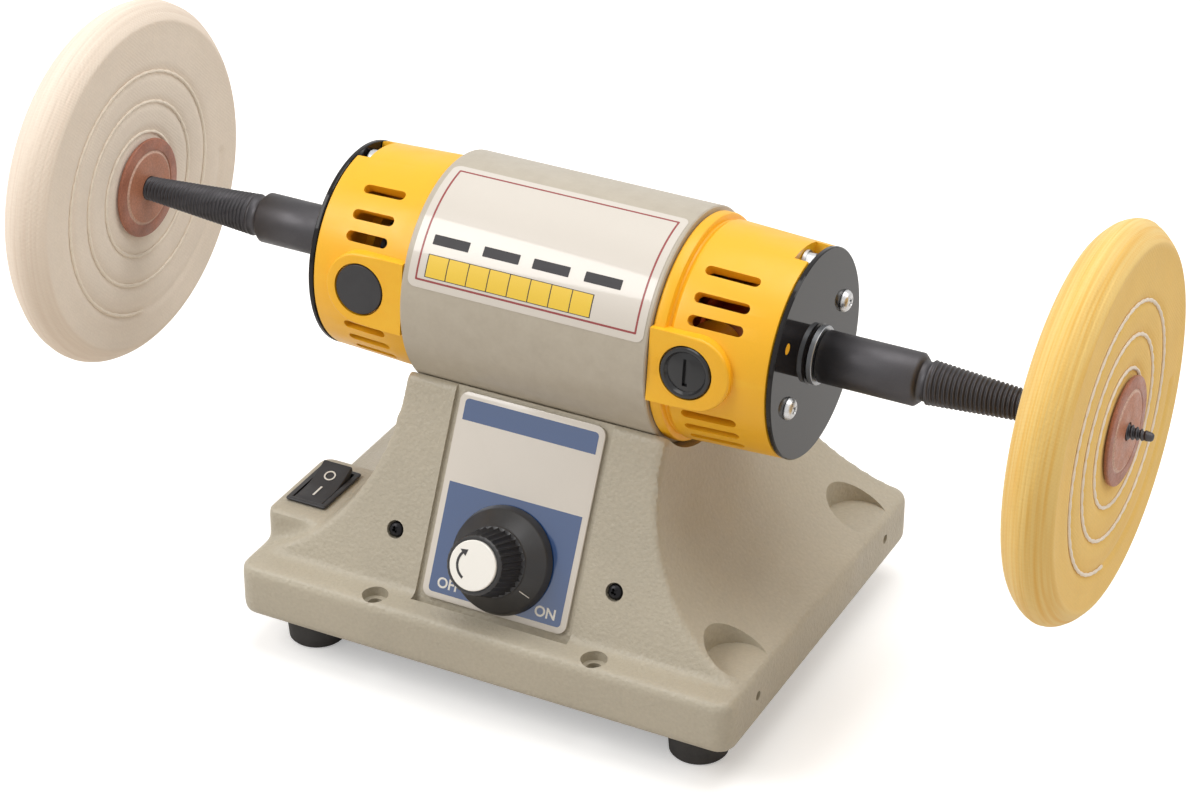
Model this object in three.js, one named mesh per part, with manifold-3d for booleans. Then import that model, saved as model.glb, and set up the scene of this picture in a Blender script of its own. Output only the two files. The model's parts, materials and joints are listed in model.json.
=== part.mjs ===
// A bench polisher: a small motor lies in the cradle of a cast base, with a threaded spindle and a cotton
// buff at each end. Millimetres. X runs along the motor shaft, Y to the back and Z up. The origin is on the
// bench, under the middle of the base.
import * as THREE from "three";
import { mergeVertices } from "three/addons/utils/BufferGeometryUtils.js";
import Module from "manifold-3d";

const wasm = await Module();
wasm.setup();

// Clearances
const gap = 0.3; // between pieces that rest on each other
const overrun = 2; // a cutting tool passes the face that it cuts by this much
const weld = 0.0001; // corners closer than this are one corner

// Base
const axisHeight = 102.9;
const baseWidth = 152.8;
const baseDepth = 124.2;
const footHeight = 11.9;
const slabThickness = 16;
const slabCornerRadius = 5;
const slabEdgeRound = 2.2;
const slabWall = 5;
const castingWall = 4;
const coverThickness = 1.5;
const bossRadius = 6.5;
const footTopRadius = 9.1;
const footTipRadius = 8.2;
const footInset = 16;
const footScrewHead = 3.4;
const footScrewHeadHeight = 2;
const footScrewShank = 2;
const footScrewGrip = 8; // thread in the casting
const footFloor = 5; // rubber under the cover, over the screw head

// Pedestal
const neckWidth = 80;
const flankHeight = 48.1;
const frontStrip = 9.6; // slab in front of the pedestal
const frontLipDrop = 21.4; // lip below the motor axis
const backLipDrop = 14.9;
const lipThickness = 1.4;
const pocketRadius = 9;
const pocketInsetX = 8;
const pocketInsetY = 21.5;
const benchHoleSpacing = 68;
const benchHoleInset = 4.8;
const benchHoleRadius = 2.2;
const benchSinkRadius = 3.7;
const benchSinkDepth = 2.8;
const sideHoleRadius = 1.4;
const sideHoleDepth = 3;
const sideHoleDrop = 6.9; // below the slab top
const sideHoleInset = 18.6;

// Switch block on the left flank
const switchBlockWidth = 21;
const switchBlockDepth = 32.8;
const switchBlockHeight = 10;
const switchBlockFront = 15.8; // back from the slab's front face
const switchBlockRadius = 3;
const switchCentreX = 66.6;
const rockerWidth = 12.9;
const rockerLength = 20.8;
const rockerFlange = 0.8;
const rockerBezel = 1.2; // how far the flange reaches past the body on each side
const rockerDepth = 12;
const rockerWall = 1;
const rockerFloor = 1.5;
const rockerKeyRise = 1.3; // key ends over the pivot when the key is level
const rockerKeyDepth = 3; // key under the pivot
const rockerKeySwing = 20; // degrees between its two positions

// Controls on the sloping front
const controlHeight = 16.2; // up the slope
const panelWidth = 44.6;
const panelMargin = 0.7; // casting left under and over the panel
const panelThickness = 0.8;
const panelRadius = 2.7;
const channelWidth = 48.4;
const frontScrewSpacing = 68;
const frontScrewHead = 2.3;
const frontScrewHeadHeight = 1.3;
const frontScrewShank = 1.4;
const frontScrewLength = 9;
const frontSinkDepth = 1.6;
const bracketThickness = 1.5;
const bracketHeight = 13;
const bracketMargin = 4.5; // bracket past the screw's middle
const bushRadius = 3.5;
const potRadius = 8;
const potDepth = 8;
const potShaftRadius = 2.4;
const boardWidth = 50;
const boardHeight = 34;
const boardThickness = 1.6;
const boardDrop = 9; // board's lower edge under the pot's middle
const knobSkirtRadius = 15.2;
const knobSkirtTopRadius = 14.2;
const knobSkirtHeight = 3;
const knobConeHeight = 6.3; // top of the smooth cone over the panel
const knobBarrelFoot = 9.6;
const knobBarrelTop = 8;
const knobHeight = 18.2;
const knobRibs = 28;
const knobRibDepth = 0.7;
const knobHollow = 4; // hollow under the skirt
const knobWall = 2;
const knobSocketFloor = 5; // knob left over the end of its shaft
const insertRadius = 6.9;
const insertThickness = 1.2;
const insertSink = 0.7;

// Cord inlet
const grommetReach = 3.5; // grommet past the slab's back face
const grommetX = -40;
const grommetHoleRadius = 4.8;
const grommetFlangeRadius = 6.4;
const grommetBore = 3.3;

// Motor
const motorTurn = 7; // degrees that the brush line leans up at the front
const bodyRadius = 32.9;
const bodyWall = 4;
const bodyLeft = 38;
const bodyRight = 36;
const plateLeft = 69.2; // outer face of each end plate from the middle
const plateRight = 70.8;
const plateThickness = 1.4;
const plateRadius = 29.2;
const plateHole = 6.2;
const plateRimRadius = 8;
const plateRimHeight = 2.1;
const capRootRadius = 30.4;
const capWall = 2.8;
const capSpigot = 4;
const capWebInset = 4; // web to end plate
const capWebThickness = 3;
const flangeWidth = 3.6;
const flangeRadius = 31.7;
const hubWall = 3;
const leftVentLength = 13.1;
const rightVentLength = 15.7;
const ventInset = 10.3; // end of the vents from the end plate's face
const ventWidth = 2.8;
const ventAnglesUp = [26, 38, 53.5]; // degrees over the brush line
const ventAnglesDown = [27, 38, 49.5];
const notchDepth = 4;
const notchHalfAngle = 12.5;
const postRadius = 3.4;
const plateScrewCircle = 19.3;
const plateScrewAngle = 150; // degrees round from the front brush
const plateScrewHead = 3.15;
const plateScrewHeadHeight = 2;
const plateScrewShank = 1.5;
const plateScrewLength = 7;
const peepHoleRadius = 1.25;
const peepHoleCircle = 21.9;
const peepHoleAngle = 23;
const boltCircle = 24.9;
const boltRadius = 1.8;
const boltHead = 3.1;
const boltHeadHeight = 2.6;
const boltBoss = 3.7;

// Brush gear
const brushReach = 47.2; // brush line from the middle
const brushWidth = 5;
const brushLength = 8;
const brushHolderRadius = 8;
const brushHolderNose = 12;
const brushCapRadius = 7.3;
const brushCapFlange = 1.6;
const brushCapPlug = 5.6;
const brushCapDepth = 7;
const brushCapSlotWidth = 1.7;
const brushCapSlotDepth = 1;
const brushOuterEnd = 20;
const padReach = 31.6; // flat of the brush pad from the axis
const padHalfHeight = 10.4;
const brushPadNose = 12.6; // rounded end of the pad past the brush line
const plugReach = 51.7; // blank plug of the left cap from the middle
const plugPadNose = 10.4;
const plugDepth = 3;

// Rotor and stator
const shaftRadius = 4;
const shaftReach = 92;
const bearingRadius = 11;
const bearingWidth = 7;
const bearingGroove = 7.4; // where the two rings meet
const coreLength = 40;
const rotorRadius = 15.5;
const airGap = 0.5;
const rotorSlots = 12;
const rotorSlotDepth = 5;
const rotorSlotWidth = 2.6;
const windingEnd = 6;
const windingRound = 2;
const windingInner = 6;
const commutatorRadius = 9;
const commutatorInner = 40.5;
const commutatorOuter = 54;
const riserRadius = 10.5;
const riserWidth = 2;
const poleHalfAngle = 55;
const poleShoe = 2.3;
const poleNeck = 14;
const statorRing = 3.4;
const coilWidth = 3.6;
const coilDepth = 3.6;
const fanInner = 30;
const fanClearance = 0.8; // fan to the tie bolt bosses
const fanHub = 7;
const fanDisc = 1.5;
const fanBladeLength = 9;
const fanBladeThickness = 1.5;
const fanBlades = 8;
const mountScrewInset = 9; // from the side of the pedestal's neck
const mountScrewHead = 3.5;
const mountScrewHeadHeight = 2.4;
const mountScrewShank = 2;
const wireHoleRadius = 2.4;
const wireHoleInset = 7.5; // from the mount screw

// Spindles and buffs
const sleeveRadius = 7.25;
const sleeveEnd = 101.5;
const sleeveBevel = 0.8;
const neckRadius = 5.4;
const threadStart = 104;
const threadEnd = 157;
const threadFootRadius = 6.1;
const threadTipRadius = 2.1;
const threadPitch = 2.5;
const threadDepth = 0.7;
const spindleTip = 165;
const spindleTipRadius = 0.9;
const buffOuterFace = 156.4;
const buffThickness = 14;
const buffRadius = 54;
const buffFaceRadius = 48.9;
const buffShoulderRadius = 52.8;
const buffShoulder = 2.8; // shoulder from the face, and half the flat of the rim
const washerRadius = 14.7;
const washerThickness = 1.2;

// Places worked out from the sizes
const slabBottom = footHeight;
const slabTop = slabBottom + slabThickness;
const bossBottom = slabBottom + coverThickness + gap;
const recessTop = slabTop - castingWall;
const slabFront = -baseDepth / 2;
const neckHalf = neckWidth / 2;
const mountScrewX = neckHalf - mountScrewInset;
const wireHoleX = mountScrewX - wireHoleInset;
const flankFoot = baseWidth / 2 - slabEdgeRound;
const flankRadius = ((flankFoot - neckHalf) ** 2 + flankHeight ** 2) / (2 * (flankFoot - neckHalf));
const cradleRadius = bodyRadius + gap;
const frontFoot = slabFront + frontStrip;
const backFoot = baseDepth / 2 - slabEdgeRound;
const frontLipZ = axisHeight - frontLipDrop;
const backLipZ = axisHeight - backLipDrop;
const frontLipY = -Math.sqrt(cradleRadius ** 2 - frontLipDrop ** 2) - lipThickness;
const backLipY = Math.sqrt(cradleRadius ** 2 - backLipDrop ** 2) + lipThickness;
const frontLean = Math.atan2(frontLipY - frontFoot, frontLipZ - slabTop);
const backLean = Math.atan2(backFoot - backLipY, backLipZ - slabTop);
const slopeLength = (frontLipZ - slabTop) / Math.cos(frontLean);
const footX = baseWidth / 2 - footInset;
const footY = baseDepth / 2 - footInset;
const switchTop = slabTop + switchBlockHeight;
const switchCentreY = slabFront + switchBlockFront + switchBlockDepth / 2;
const channelDepth = panelThickness + gap;
const bracketFront = -castingWall - gap;
const potFront = bracketFront - bracketThickness - gap;
const bodyBore = bodyRadius - bodyWall;
const capBore = plateRadius - capWall;
const hubBore = bearingRadius + gap;
const hubRadius = hubBore + hubWall;
const brushHoleRadius = brushCapPlug + gap;
const statorOuter = bodyBore - gap;
const statorInner = statorOuter - statorRing;
const poleFace = rotorRadius + airGap;
const fanRadius = boltCircle - boltBoss - fanClearance;
const buffInnerFace = buffOuterFace - buffThickness;
const shaftBore = shaftRadius + gap;

// Numbers of flat sides, which don't change with size
const bodySides = 32;
const turnedSides = 16;
const spindleSides = 12;
const screwSides = 10;
const arcSteps = 6;
const cornerSteps = 3;

const degrees = (angle) => (angle * Math.PI) / 180;

// Solids

function solidOf(geometry) {
  const bare = geometry.clone();
  bare.deleteAttribute("normal");
  bare.deleteAttribute("uv");
  const merged = mergeVertices(bare, weld);
  return new wasm.Manifold(
    new wasm.Mesh({
      numProp: 3,
      vertProperties: new Float32Array(merged.attributes.position.array),
      triVerts: new Uint32Array(merged.index.array),
    }),
  );
}

function geometryOf(solid) {
  const mesh = solid.getMesh();
  const geometry = new THREE.BufferGeometry();
  geometry.setAttribute("position", new THREE.BufferAttribute(mesh.vertProperties, mesh.numProp));
  geometry.setIndex(new THREE.BufferAttribute(mesh.triVerts, 1));
  geometry.computeVertexNormals();
  return geometry;
}

const joined = (solids) => solids.reduce((sum, solid) => sum.add(solid));
const cutBy = (solid, tools) => tools.reduce((rest, tool) => rest.subtract(tool), solid);

// A turned solid: each point is [place along the axis, radius], and a ring's outline closes on itself.
function turned(points, sides = turnedSides) {
  const outline = points.map(([along, radius]) => new THREE.Vector2(radius, along));
  const ring = points.every(([, radius]) => radius > 0);
  const runsForward = THREE.ShapeUtils.area(outline) > 0;
  if (!runsForward) outline.reverse();
  if (ring) outline.push(outline[0].clone());
  return new THREE.LatheGeometry(outline, sides);
}
const turnedX = (points, sides) => turned(points, sides).rotateZ(-Math.PI / 2);
const turnedZ = (points, sides) => turned(points, sides).rotateX(Math.PI / 2);
const turnedOnSide = (side, points, sides) => turnedX(points.map(([x, radius]) => [side * x, radius]), sides);

// A plain cylinder between two places on its axis.
const rod = (from, to, radius) => [[from, 0], [from, radius], [to, radius], [to, 0]];
const rodX = (from, to, radius, sides) => turnedX(rod(from, to, radius), sides);
const rodZ = (from, to, radius, sides) => turnedZ(rod(from, to, radius), sides);

// A plain ring round X between two places on its axis.
function ringX(from, to, inner, outer, sides) {
  return turnedX([[from, inner], [from, outer], [to, outer], [to, inner]], sides);
}

function block(width, depth, height, x = 0, y = 0, z = 0) {
  return new THREE.BoxGeometry(width, depth, height).translate(x, y, z);
}

const shapeOf = (points) => new THREE.Shape(points.map(([u, v]) => new THREE.Vector2(u, v)));

// An outline drawn in the plane and drawn out along its normal, from one place to another.
function drawnOut(outline, from, to) {
  const shape = Array.isArray(outline) ? shapeOf(outline) : outline;
  const options = { depth: to - from, bevelEnabled: false, curveSegments: cornerSteps };
  return new THREE.ExtrudeGeometry(shape, options).translate(0, 0, from);
}
const unitX = new THREE.Vector3(1, 0, 0);
const unitY = new THREE.Vector3(0, 1, 0);
const unitZ = new THREE.Vector3(0, 0, 1);
const planeYZ = new THREE.Matrix4().makeBasis(unitY, unitZ, unitX);
const planeXZ = new THREE.Matrix4().makeBasis(unitX, unitZ, unitY.clone().negate());
const drawnAlongX = (outline, from, to) => drawnOut(outline, from, to).applyMatrix4(planeYZ);
const drawnAlongY = (outline, from, to) => drawnOut(outline, -to, -from).applyMatrix4(planeXZ);

function roundedRectangle(width, height, radius) {
  const [right, top, shape] = [width / 2, height / 2, new THREE.Shape()];
  const corners = [
    [right - radius, top - radius],
    [radius - right, top - radius],
    [radius - right, radius - top],
    [right - radius, radius - top],
  ];
  corners.forEach(([x, y], turn) => {
    shape.absarc(x, y, radius, (turn * Math.PI) / 2, ((turn + 1) * Math.PI) / 2, false);
  });
  return shape;
}

// Points of an arc, from one angle to another, both in radians.
function arc(centreX, centreY, radius, from, to, steps = arcSteps) {
  return Array.from({ length: steps + 1 }, (_, step) => {
    const angle = from + ((to - from) * step) / steps;
    return [centreX + radius * Math.cos(angle), centreY + radius * Math.sin(angle)];
  });
}

// Frames that pieces are placed in

const frontPlane = new THREE.Matrix4()
  .makeRotationX(Math.PI / 2 - frontLean)
  .setPosition(0, frontFoot, slabTop);
const atControl = new THREE.Matrix4().makeTranslation(0, controlHeight, 0).premultiply(frontPlane);
const motorFrame = new THREE.Matrix4().makeRotationX(-degrees(motorTurn)).setPosition(0, 0, axisHeight);

// Turns a geometry made on the front brush line (towards -Y) round the motor axis; 90 degrees is up.
const roundMotor = (geometry, angle) => geometry.rotateX(-degrees(angle));

const machine = new THREE.Group();

function finish(color, roughness, metalness) {
  return () => new THREE.MeshStandardMaterial({ color, roughness, metalness });
}
const castPaint = finish(0xb0a896, 0.55, 0.1);
const yellowPlastic = finish(0xf7a823, 0.45, 0);
const blackPlastic = finish(0x17171a, 0.35, 0);
const satinBlack = finish(0x464244, 0.5, 0.4);
const blackSteel = finish(0x1b1a1c, 0.35, 0.8);
const rubber = finish(0x232224, 0.85, 0);
const zinc = finish(0xb9bbbd, 0.35, 1);
const steel = finish(0xa2a5a8, 0.35, 1);
const copper = finish(0xb87340, 0.4, 1);
const carbon = finish(0x2b2b2d, 0.7, 0.2);
const panelPrint = finish(0x3c5a8c, 0.4, 0.1);
const insertPrint = finish(0xe6e4e0, 0.4, 0.2);
const leather = finish(0xaa6e55, 0.8, 0);
const creamCotton = finish(0xdeceba, 0.95, 0);
const yellowCotton = finish(0xe6b455, 0.95, 0);
const boardLaminate = finish(0x2f6a3e, 0.5, 0);

function place(name, shape, material, frame) {
  const geometry = shape.isBufferGeometry ? shape : geometryOf(shape);
  const mesh = new THREE.Mesh(geometry, material());
  mesh.name = name;
  if (frame) mesh.applyMatrix4(frame);
  machine.add(mesh);
}

// Base casting

// The pedestal seen from the front, with its sides drawn in by inset.
function flankOutline(inset, bottom) {
  const radius = flankRadius + inset;
  const centreX = neckHalf + flankRadius;
  const centreZ = slabTop + flankHeight;
  const footAngle = Math.asin((centreZ - Math.max(bottom, slabTop - inset)) / radius);
  const side = arc(centreX, centreZ, radius, Math.PI + footAngle, Math.PI);
  const right = [[side[0][0], bottom], ...side, [neckHalf - inset, axisHeight]];
  const left = right.map(([x, z]) => [-x, z]).reverse();
  return [...right, ...left];
}

// The pedestal seen from the side, with its sloping faces drawn in by inset.
function slopeOutline(inset, bottom) {
  const front = inset / Math.cos(frontLean);
  const back = inset / Math.cos(backLean);
  const frontAt = (z) => frontFoot + (z - slabTop) * Math.tan(frontLean) + front;
  const backAt = (z) => backFoot - (z - slabTop) * Math.tan(backLean) - back;
  return [
    [frontAt(slabTop), bottom],
    [backAt(slabTop), bottom],
    [backAt(slabTop), slabTop],
    [backAt(backLipZ), backLipZ],
    [0, backLipZ],
    [0, frontLipZ],
    [frontAt(frontLipZ), frontLipZ],
    [frontAt(slabTop), slabTop],
  ];
}

function pedestal(inset, bottom) {
  const seenFromFront = drawnAlongY(flankOutline(inset, bottom), slabFront, -slabFront);
  const seenFromSide = drawnAlongX(slopeOutline(inset, bottom), -baseWidth / 2, baseWidth / 2);
  return solidOf(seenFromFront).intersect(solidOf(seenFromSide));
}

function slab() {
  const shape = roundedRectangle(baseWidth, baseDepth, slabCornerRadius);
  const options = {
    depth: slabThickness - 2 * slabEdgeRound,
    bevelThickness: slabEdgeRound,
    bevelSize: slabEdgeRound,
    bevelOffset: -slabEdgeRound,
    bevelSegments: 2,
    curveSegments: cornerSteps,
  };
  return solidOf(new THREE.ExtrudeGeometry(shape, options).translate(0, 0, slabBottom + slabEdgeRound));
}

function switchBlock() {
  const outline = roundedRectangle(switchBlockWidth, switchBlockDepth, switchBlockRadius);
  const raised = drawnOut(outline, recessTop, switchTop);
  return solidOf(raised.translate(-baseWidth / 2 + switchBlockWidth / 2 + gap, switchCentreY, 0));
}

const onBothSides = (distance) => [-distance, distance];
const footPlaces = onBothSides(footX).flatMap((x) => onBothSides(footY).map((y) => [x, y]));
const benchHolePlaces = onBothSides(benchHoleSpacing / 2).map((x) => [x, slabFront + benchHoleInset]);
const pocketPlaces = [
  [baseWidth / 2 - pocketInsetX, pocketInsetY - baseDepth / 2],
  [baseWidth / 2 - pocketInsetX, baseDepth / 2 - pocketInsetY],
  [pocketInsetX - baseWidth / 2, baseDepth / 2 - pocketInsetY],
];
const postsAt = (places, from, to, radius, sides) =>
  places.map(([x, y]) => solidOf(rodZ(from, to, radius, sides).translate(x, y, 0)));

// Posts left standing in the slab's recess for the foot screws and the bench holes.
function slabRecess() {
  const outline = roundedRectangle(baseWidth - 2 * slabWall, baseDepth - 2 * slabWall, slabCornerRadius);
  const recess = solidOf(drawnOut(outline, slabBottom - overrun, recessTop));
  const footBosses = postsAt(footPlaces, bossBottom, slabTop, bossRadius, screwSides);
  const benchBosses = postsAt(benchHolePlaces, bossBottom, slabTop, bossRadius, screwSides);
  return cutBy(recess, [...footBosses, ...benchBosses]);
}

// The pedestal's hollow stays a wall away from the motor and from the corner pockets.
function pedestalHollow() {
  const hollow = pedestal(castingWall, recessTop - overrun);
  const motor = rodX(-baseWidth, baseWidth, cradleRadius + castingWall, bodySides);
  const pockets = postsAt(pocketPlaces, slabBottom, axisHeight, pocketRadius + castingWall, turnedSides);
  return cutBy(hollow, [solidOf(motor.translate(0, 0, axisHeight)), ...pockets]);
}

function frontCuts() {
  const channel = block(channelWidth, slopeLength + 2 * overrun, channelDepth + overrun);
  channel.translate(0, slopeLength / 2, overrun / 2 - channelDepth / 2);
  const bush = rodZ(-castingWall - overrun, overrun, bushRadius + gap, turnedSides);
  const screws = onBothSides(frontScrewSpacing / 2).flatMap((x) => [
    rodZ(-frontSinkDepth, overrun, frontScrewHead + gap, screwSides).translate(x, 0, 0),
    rodZ(-castingWall - overrun, 0, frontScrewShank + gap, screwSides).translate(x, 0, 0),
  ]);
  const round = [bush, ...screws].map((geometry) => solidOf(geometry.applyMatrix4(atControl)));
  return [solidOf(channel.applyMatrix4(frontPlane)), ...round];
}

function baseCasting() {
  const cradle = rodX(-baseWidth, baseWidth, cradleRadius, bodySides).translate(0, 0, axisHeight);
  const switchHole = block(
    rockerWidth - 2 * rockerBezel + 2 * gap,
    rockerLength - 2 * rockerBezel + 2 * gap,
    axisHeight,
    -switchCentreX,
    switchCentreY,
    recessTop - overrun + axisHeight / 2,
  );
  const grommetHole = rodZ(0, baseDepth, grommetHoleRadius, screwSides).rotateX(-Math.PI / 2);
  const sideHoles = onBothSides(baseDepth / 2 - sideHoleInset).map((y) => {
    const hole = rodX(baseWidth / 2 - sideHoleDepth, baseWidth / 2 + overrun, sideHoleRadius, screwSides);
    return hole.translate(0, y, slabTop - sideHoleDrop);
  });
  const underMotor = axisHeight - cradleRadius - castingWall - overrun;
  const downHoles = [
    ...onBothSides(mountScrewX).map((x) =>
      rodZ(underMotor, axisHeight, mountScrewShank + gap, screwSides).translate(x, 0, 0),
    ),
    rodZ(underMotor, axisHeight, wireHoleRadius, screwSides).translate(wireHoleX, 0, 0),
  ];
  const footHoles = postsAt(
    footPlaces,
    bossBottom - overrun,
    bossBottom + footScrewGrip + gap,
    footScrewShank + gap,
    screwSides,
  );
  const benchSinks = postsAt(benchHolePlaces, slabTop - benchSinkDepth, slabTop + overrun, benchSinkRadius);
  const benchHoles = postsAt(benchHolePlaces, 0, slabTop, benchHoleRadius, screwSides);
  const pockets = postsAt(pocketPlaces, slabTop, axisHeight, pocketRadius);
  const outside = joined([slab(), pedestal(0, recessTop), switchBlock()]);
  return cutBy(outside, [
    slabRecess(),
    pedestalHollow(),
    solidOf(cradle),
    solidOf(switchHole),
    solidOf(grommetHole.translate(grommetX, 0, (slabTop + slabBottom) / 2)),
    ...sideHoles.map(solidOf),
    ...downHoles.map(solidOf),
    ...footHoles,
    ...benchSinks,
    ...benchHoles,
    ...pockets,
    ...frontCuts(),
  ]);
}

function baseCover() {
  const clear = slabWall + gap;
  const outline = roundedRectangle(baseWidth - 2 * clear, baseDepth - 2 * clear, slabCornerRadius);
  const sheet = solidOf(drawnOut(outline, slabBottom, slabBottom + coverThickness));
  const screwHoles = postsAt(footPlaces, 0, slabTop, footScrewShank + gap, screwSides);
  const benchHoles = postsAt(benchHolePlaces, 0, slabTop, benchHoleRadius + gap, screwSides);
  return cutBy(sheet, [...screwHoles, ...benchHoles]);
}

// Feet

const footTop = slabBottom - gap;
const footSeat = footTop - footFloor;

function rubberFoot() {
  const bore = footScrewShank + gap;
  const sink = footScrewHead + gap;
  return turnedZ([
    [0, sink],
    [0, footTipRadius],
    [footTop, footTopRadius],
    [footTop, bore],
    [footSeat, bore],
    [footSeat, sink],
  ]);
}

function footScrew() {
  const under = footSeat - gap;
  return turnedZ(
    [
      [under - footScrewHeadHeight, 0],
      [under - footScrewHeadHeight, footScrewHead],
      [under, footScrewHead],
      [under, footScrewShank],
      [bossBottom + footScrewGrip, footScrewShank],
      [bossBottom + footScrewGrip, 0],
    ],
    screwSides,
  );
}

// Rocker switch, with its pivot over the middle of the frame

const rockerPivot = switchTop + gap + rockerFlange;

function rockerFrame() {
  const bodyWidth = rockerWidth - 2 * rockerBezel;
  const bodyLength = rockerLength - 2 * rockerBezel;
  const flange = roundedRectangle(rockerWidth, rockerLength, rockerFlange);
  const floor = switchTop - rockerDepth;
  const bodyHeight = rockerDepth + rockerFlange;
  const body = block(bodyWidth, bodyLength, bodyHeight, 0, 0, floor + bodyHeight / 2);
  const [wellWidth, wellLength] = [bodyWidth - 2 * rockerWall, bodyLength - 2 * rockerWall];
  const wellHeight = bodyHeight - rockerFloor + overrun;
  const well = block(wellWidth, wellLength, wellHeight, 0, 0, floor + rockerFloor + wellHeight / 2);
  return solidOf(drawnOut(flange, switchTop + gap, rockerPivot))
    .add(solidOf(body))
    .subtract(solidOf(well));
}

// The key at rest: pressed at the front, raised at the back.
function rockerKey() {
  const halfLength = rockerLength / 2 - rockerBezel - rockerWall - 2 * gap;
  const keyWidth = rockerWidth - 2 * (rockerBezel + rockerWall + gap);
  const outline = [
    [-halfLength, rockerKeyRise],
    [-halfLength, 0],
    [-halfLength / 2, -rockerKeyDepth],
    [halfLength / 2, -rockerKeyDepth],
    [halfLength, 0],
    [halfLength, rockerKeyRise],
    [0, 0],
  ];
  return drawnAlongX(outline, -keyWidth / 2, keyWidth / 2).rotateX(degrees(rockerKeySwing / 2));
}

// Controls, in the frame of the sloping front: X across, Y up the slope, Z out of it

function controlPanel() {
  const height = slopeLength - 2 * panelMargin;
  const sheet = drawnOut(roundedRectangle(panelWidth, height, panelRadius), -panelThickness, 0);
  const hole = rodZ(-overrun, overrun, bushRadius + gap).translate(0, controlHeight, 0);
  return solidOf(sheet.translate(0, panelMargin + height / 2, 0)).subtract(solidOf(hole));
}

function controlBracket() {
  const width = frontScrewSpacing + 2 * bracketMargin;
  const strip = drawnOut(
    roundedRectangle(width, bracketHeight, panelRadius),
    bracketFront - bracketThickness,
    bracketFront,
  );
  const through = (radius, x) =>
    solidOf(rodZ(bracketFront - bracketThickness - overrun, 0, radius, screwSides).translate(x, 0, 0));
  const screws = onBothSides(frontScrewSpacing / 2).map((x) => through(frontScrewShank + gap, x));
  return cutBy(solidOf(strip), [through(bushRadius + gap, 0), ...screws]);
}

function frontScrew() {
  const seat = gap - frontSinkDepth;
  return turnedZ(
    [
      [-frontScrewLength, 0],
      [-frontScrewLength, frontScrewShank],
      [seat, frontScrewShank],
      [seat, frontScrewHead],
      [seat + frontScrewHeadHeight, frontScrewHead],
      [seat + frontScrewHeadHeight, 0],
    ],
    screwSides,
  );
}

function potentiometer() {
  const bore = potShaftRadius + gap;
  const bushEnd = knobHollow - gap;
  return turnedZ([
    [potFront - potDepth / 2, bore],
    [potFront - potDepth, bore],
    [potFront - potDepth, potRadius],
    [potFront, potRadius],
    [potFront, bushRadius],
    [bushEnd, bushRadius],
    [bushEnd, bore],
  ]);
}

function potentiometerShaft() {
  return rodZ(potFront - potDepth / 2, knobHeight - knobSocketFloor, potShaftRadius);
}

function circuitBoard() {
  const front = potFront - potDepth - gap;
  const upSlope = boardHeight / 2 - boardDrop;
  return block(boardWidth, boardHeight, boardThickness, 0, upSlope, front - boardThickness / 2);
}

// The ribbed barrel: every second corner of its sides is drawn in.
function knobBarrel() {
  const barrel = turnedZ(
    [
      [knobSkirtHeight, 0],
      [knobSkirtHeight, knobBarrelFoot],
      [knobHeight, knobBarrelTop],
      [knobHeight, 0],
    ],
    2 * knobRibs,
  );
  const corners = barrel.attributes.position;
  for (let i = 0; i < corners.count; i++) {
    const radius = Math.hypot(corners.getX(i), corners.getY(i));
    const side = Math.round((Math.atan2(corners.getY(i), corners.getX(i)) * knobRibs) / Math.PI);
    if (radius < insertRadius || side % 2 === 0) continue;
    const share = (radius - knobRibDepth) / radius;
    corners.setXY(i, corners.getX(i) * share, corners.getY(i) * share);
  }
  return solidOf(barrel);
}

function speedKnob() {
  const skirt = turnedZ(
    [
      [gap, 0],
      [gap, knobSkirtRadius],
      [knobSkirtHeight, knobSkirtTopRadius],
      [knobConeHeight, knobBarrelFoot],
      [knobConeHeight, 0],
    ],
    bodySides,
  );
  const hollow = rodZ(-overrun, knobHollow, knobBarrelFoot - knobWall);
  const socket = rodZ(0, knobHeight - knobSocketFloor + gap, potShaftRadius + gap);
  const seat = rodZ(knobHeight - insertSink, knobHeight + overrun, insertRadius + gap);
  return cutBy(solidOf(skirt).add(knobBarrel()), [hollow, socket, seat].map(solidOf));
}

function knobInsert() {
  const seat = knobHeight - insertSink + gap;
  return rodZ(seat, seat + insertThickness, insertRadius);
}

// Cord inlet

function cordGrommet() {
  const back = baseDepth / 2;
  return turned([
    [back - slabWall, grommetBore],
    [back - slabWall, grommetHoleRadius - gap],
    [back + gap, grommetHoleRadius - gap],
    [back + gap, grommetFlangeRadius],
    [back + grommetReach, grommetFlangeRadius - gap],
    [back + grommetReach, grommetBore],
  ]).translate(grommetX, 0, (slabTop + slabBottom) / 2);
}

// Motor housing

function motorBody() {
  const tube = ringX(-bodyLeft, bodyRight, bodyBore, bodyRadius, bodySides);
  const downHole = (x, radius) =>
    solidOf(rodZ(-bodyRadius - overrun, 0, radius, screwSides).translate(x, 0, 0));
  const screws = onBothSides(mountScrewX).map((x) => downHole(x, mountScrewShank + gap));
  return cutBy(solidOf(tube), [...screws, downHole(wireHoleX, wireHoleRadius)]);
}

function mountScrew() {
  const under = -cradleRadius - castingWall - gap;
  const tip = gap - bodyBore - bodyWall / 2;
  return turnedZ(
    [
      [under - mountScrewHeadHeight, 0],
      [under - mountScrewHeadHeight, mountScrewHead],
      [under, mountScrewHead],
      [under, mountScrewShank],
      [tip, mountScrewShank],
      [tip, 0],
    ],
    screwSides,
  );
}

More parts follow.
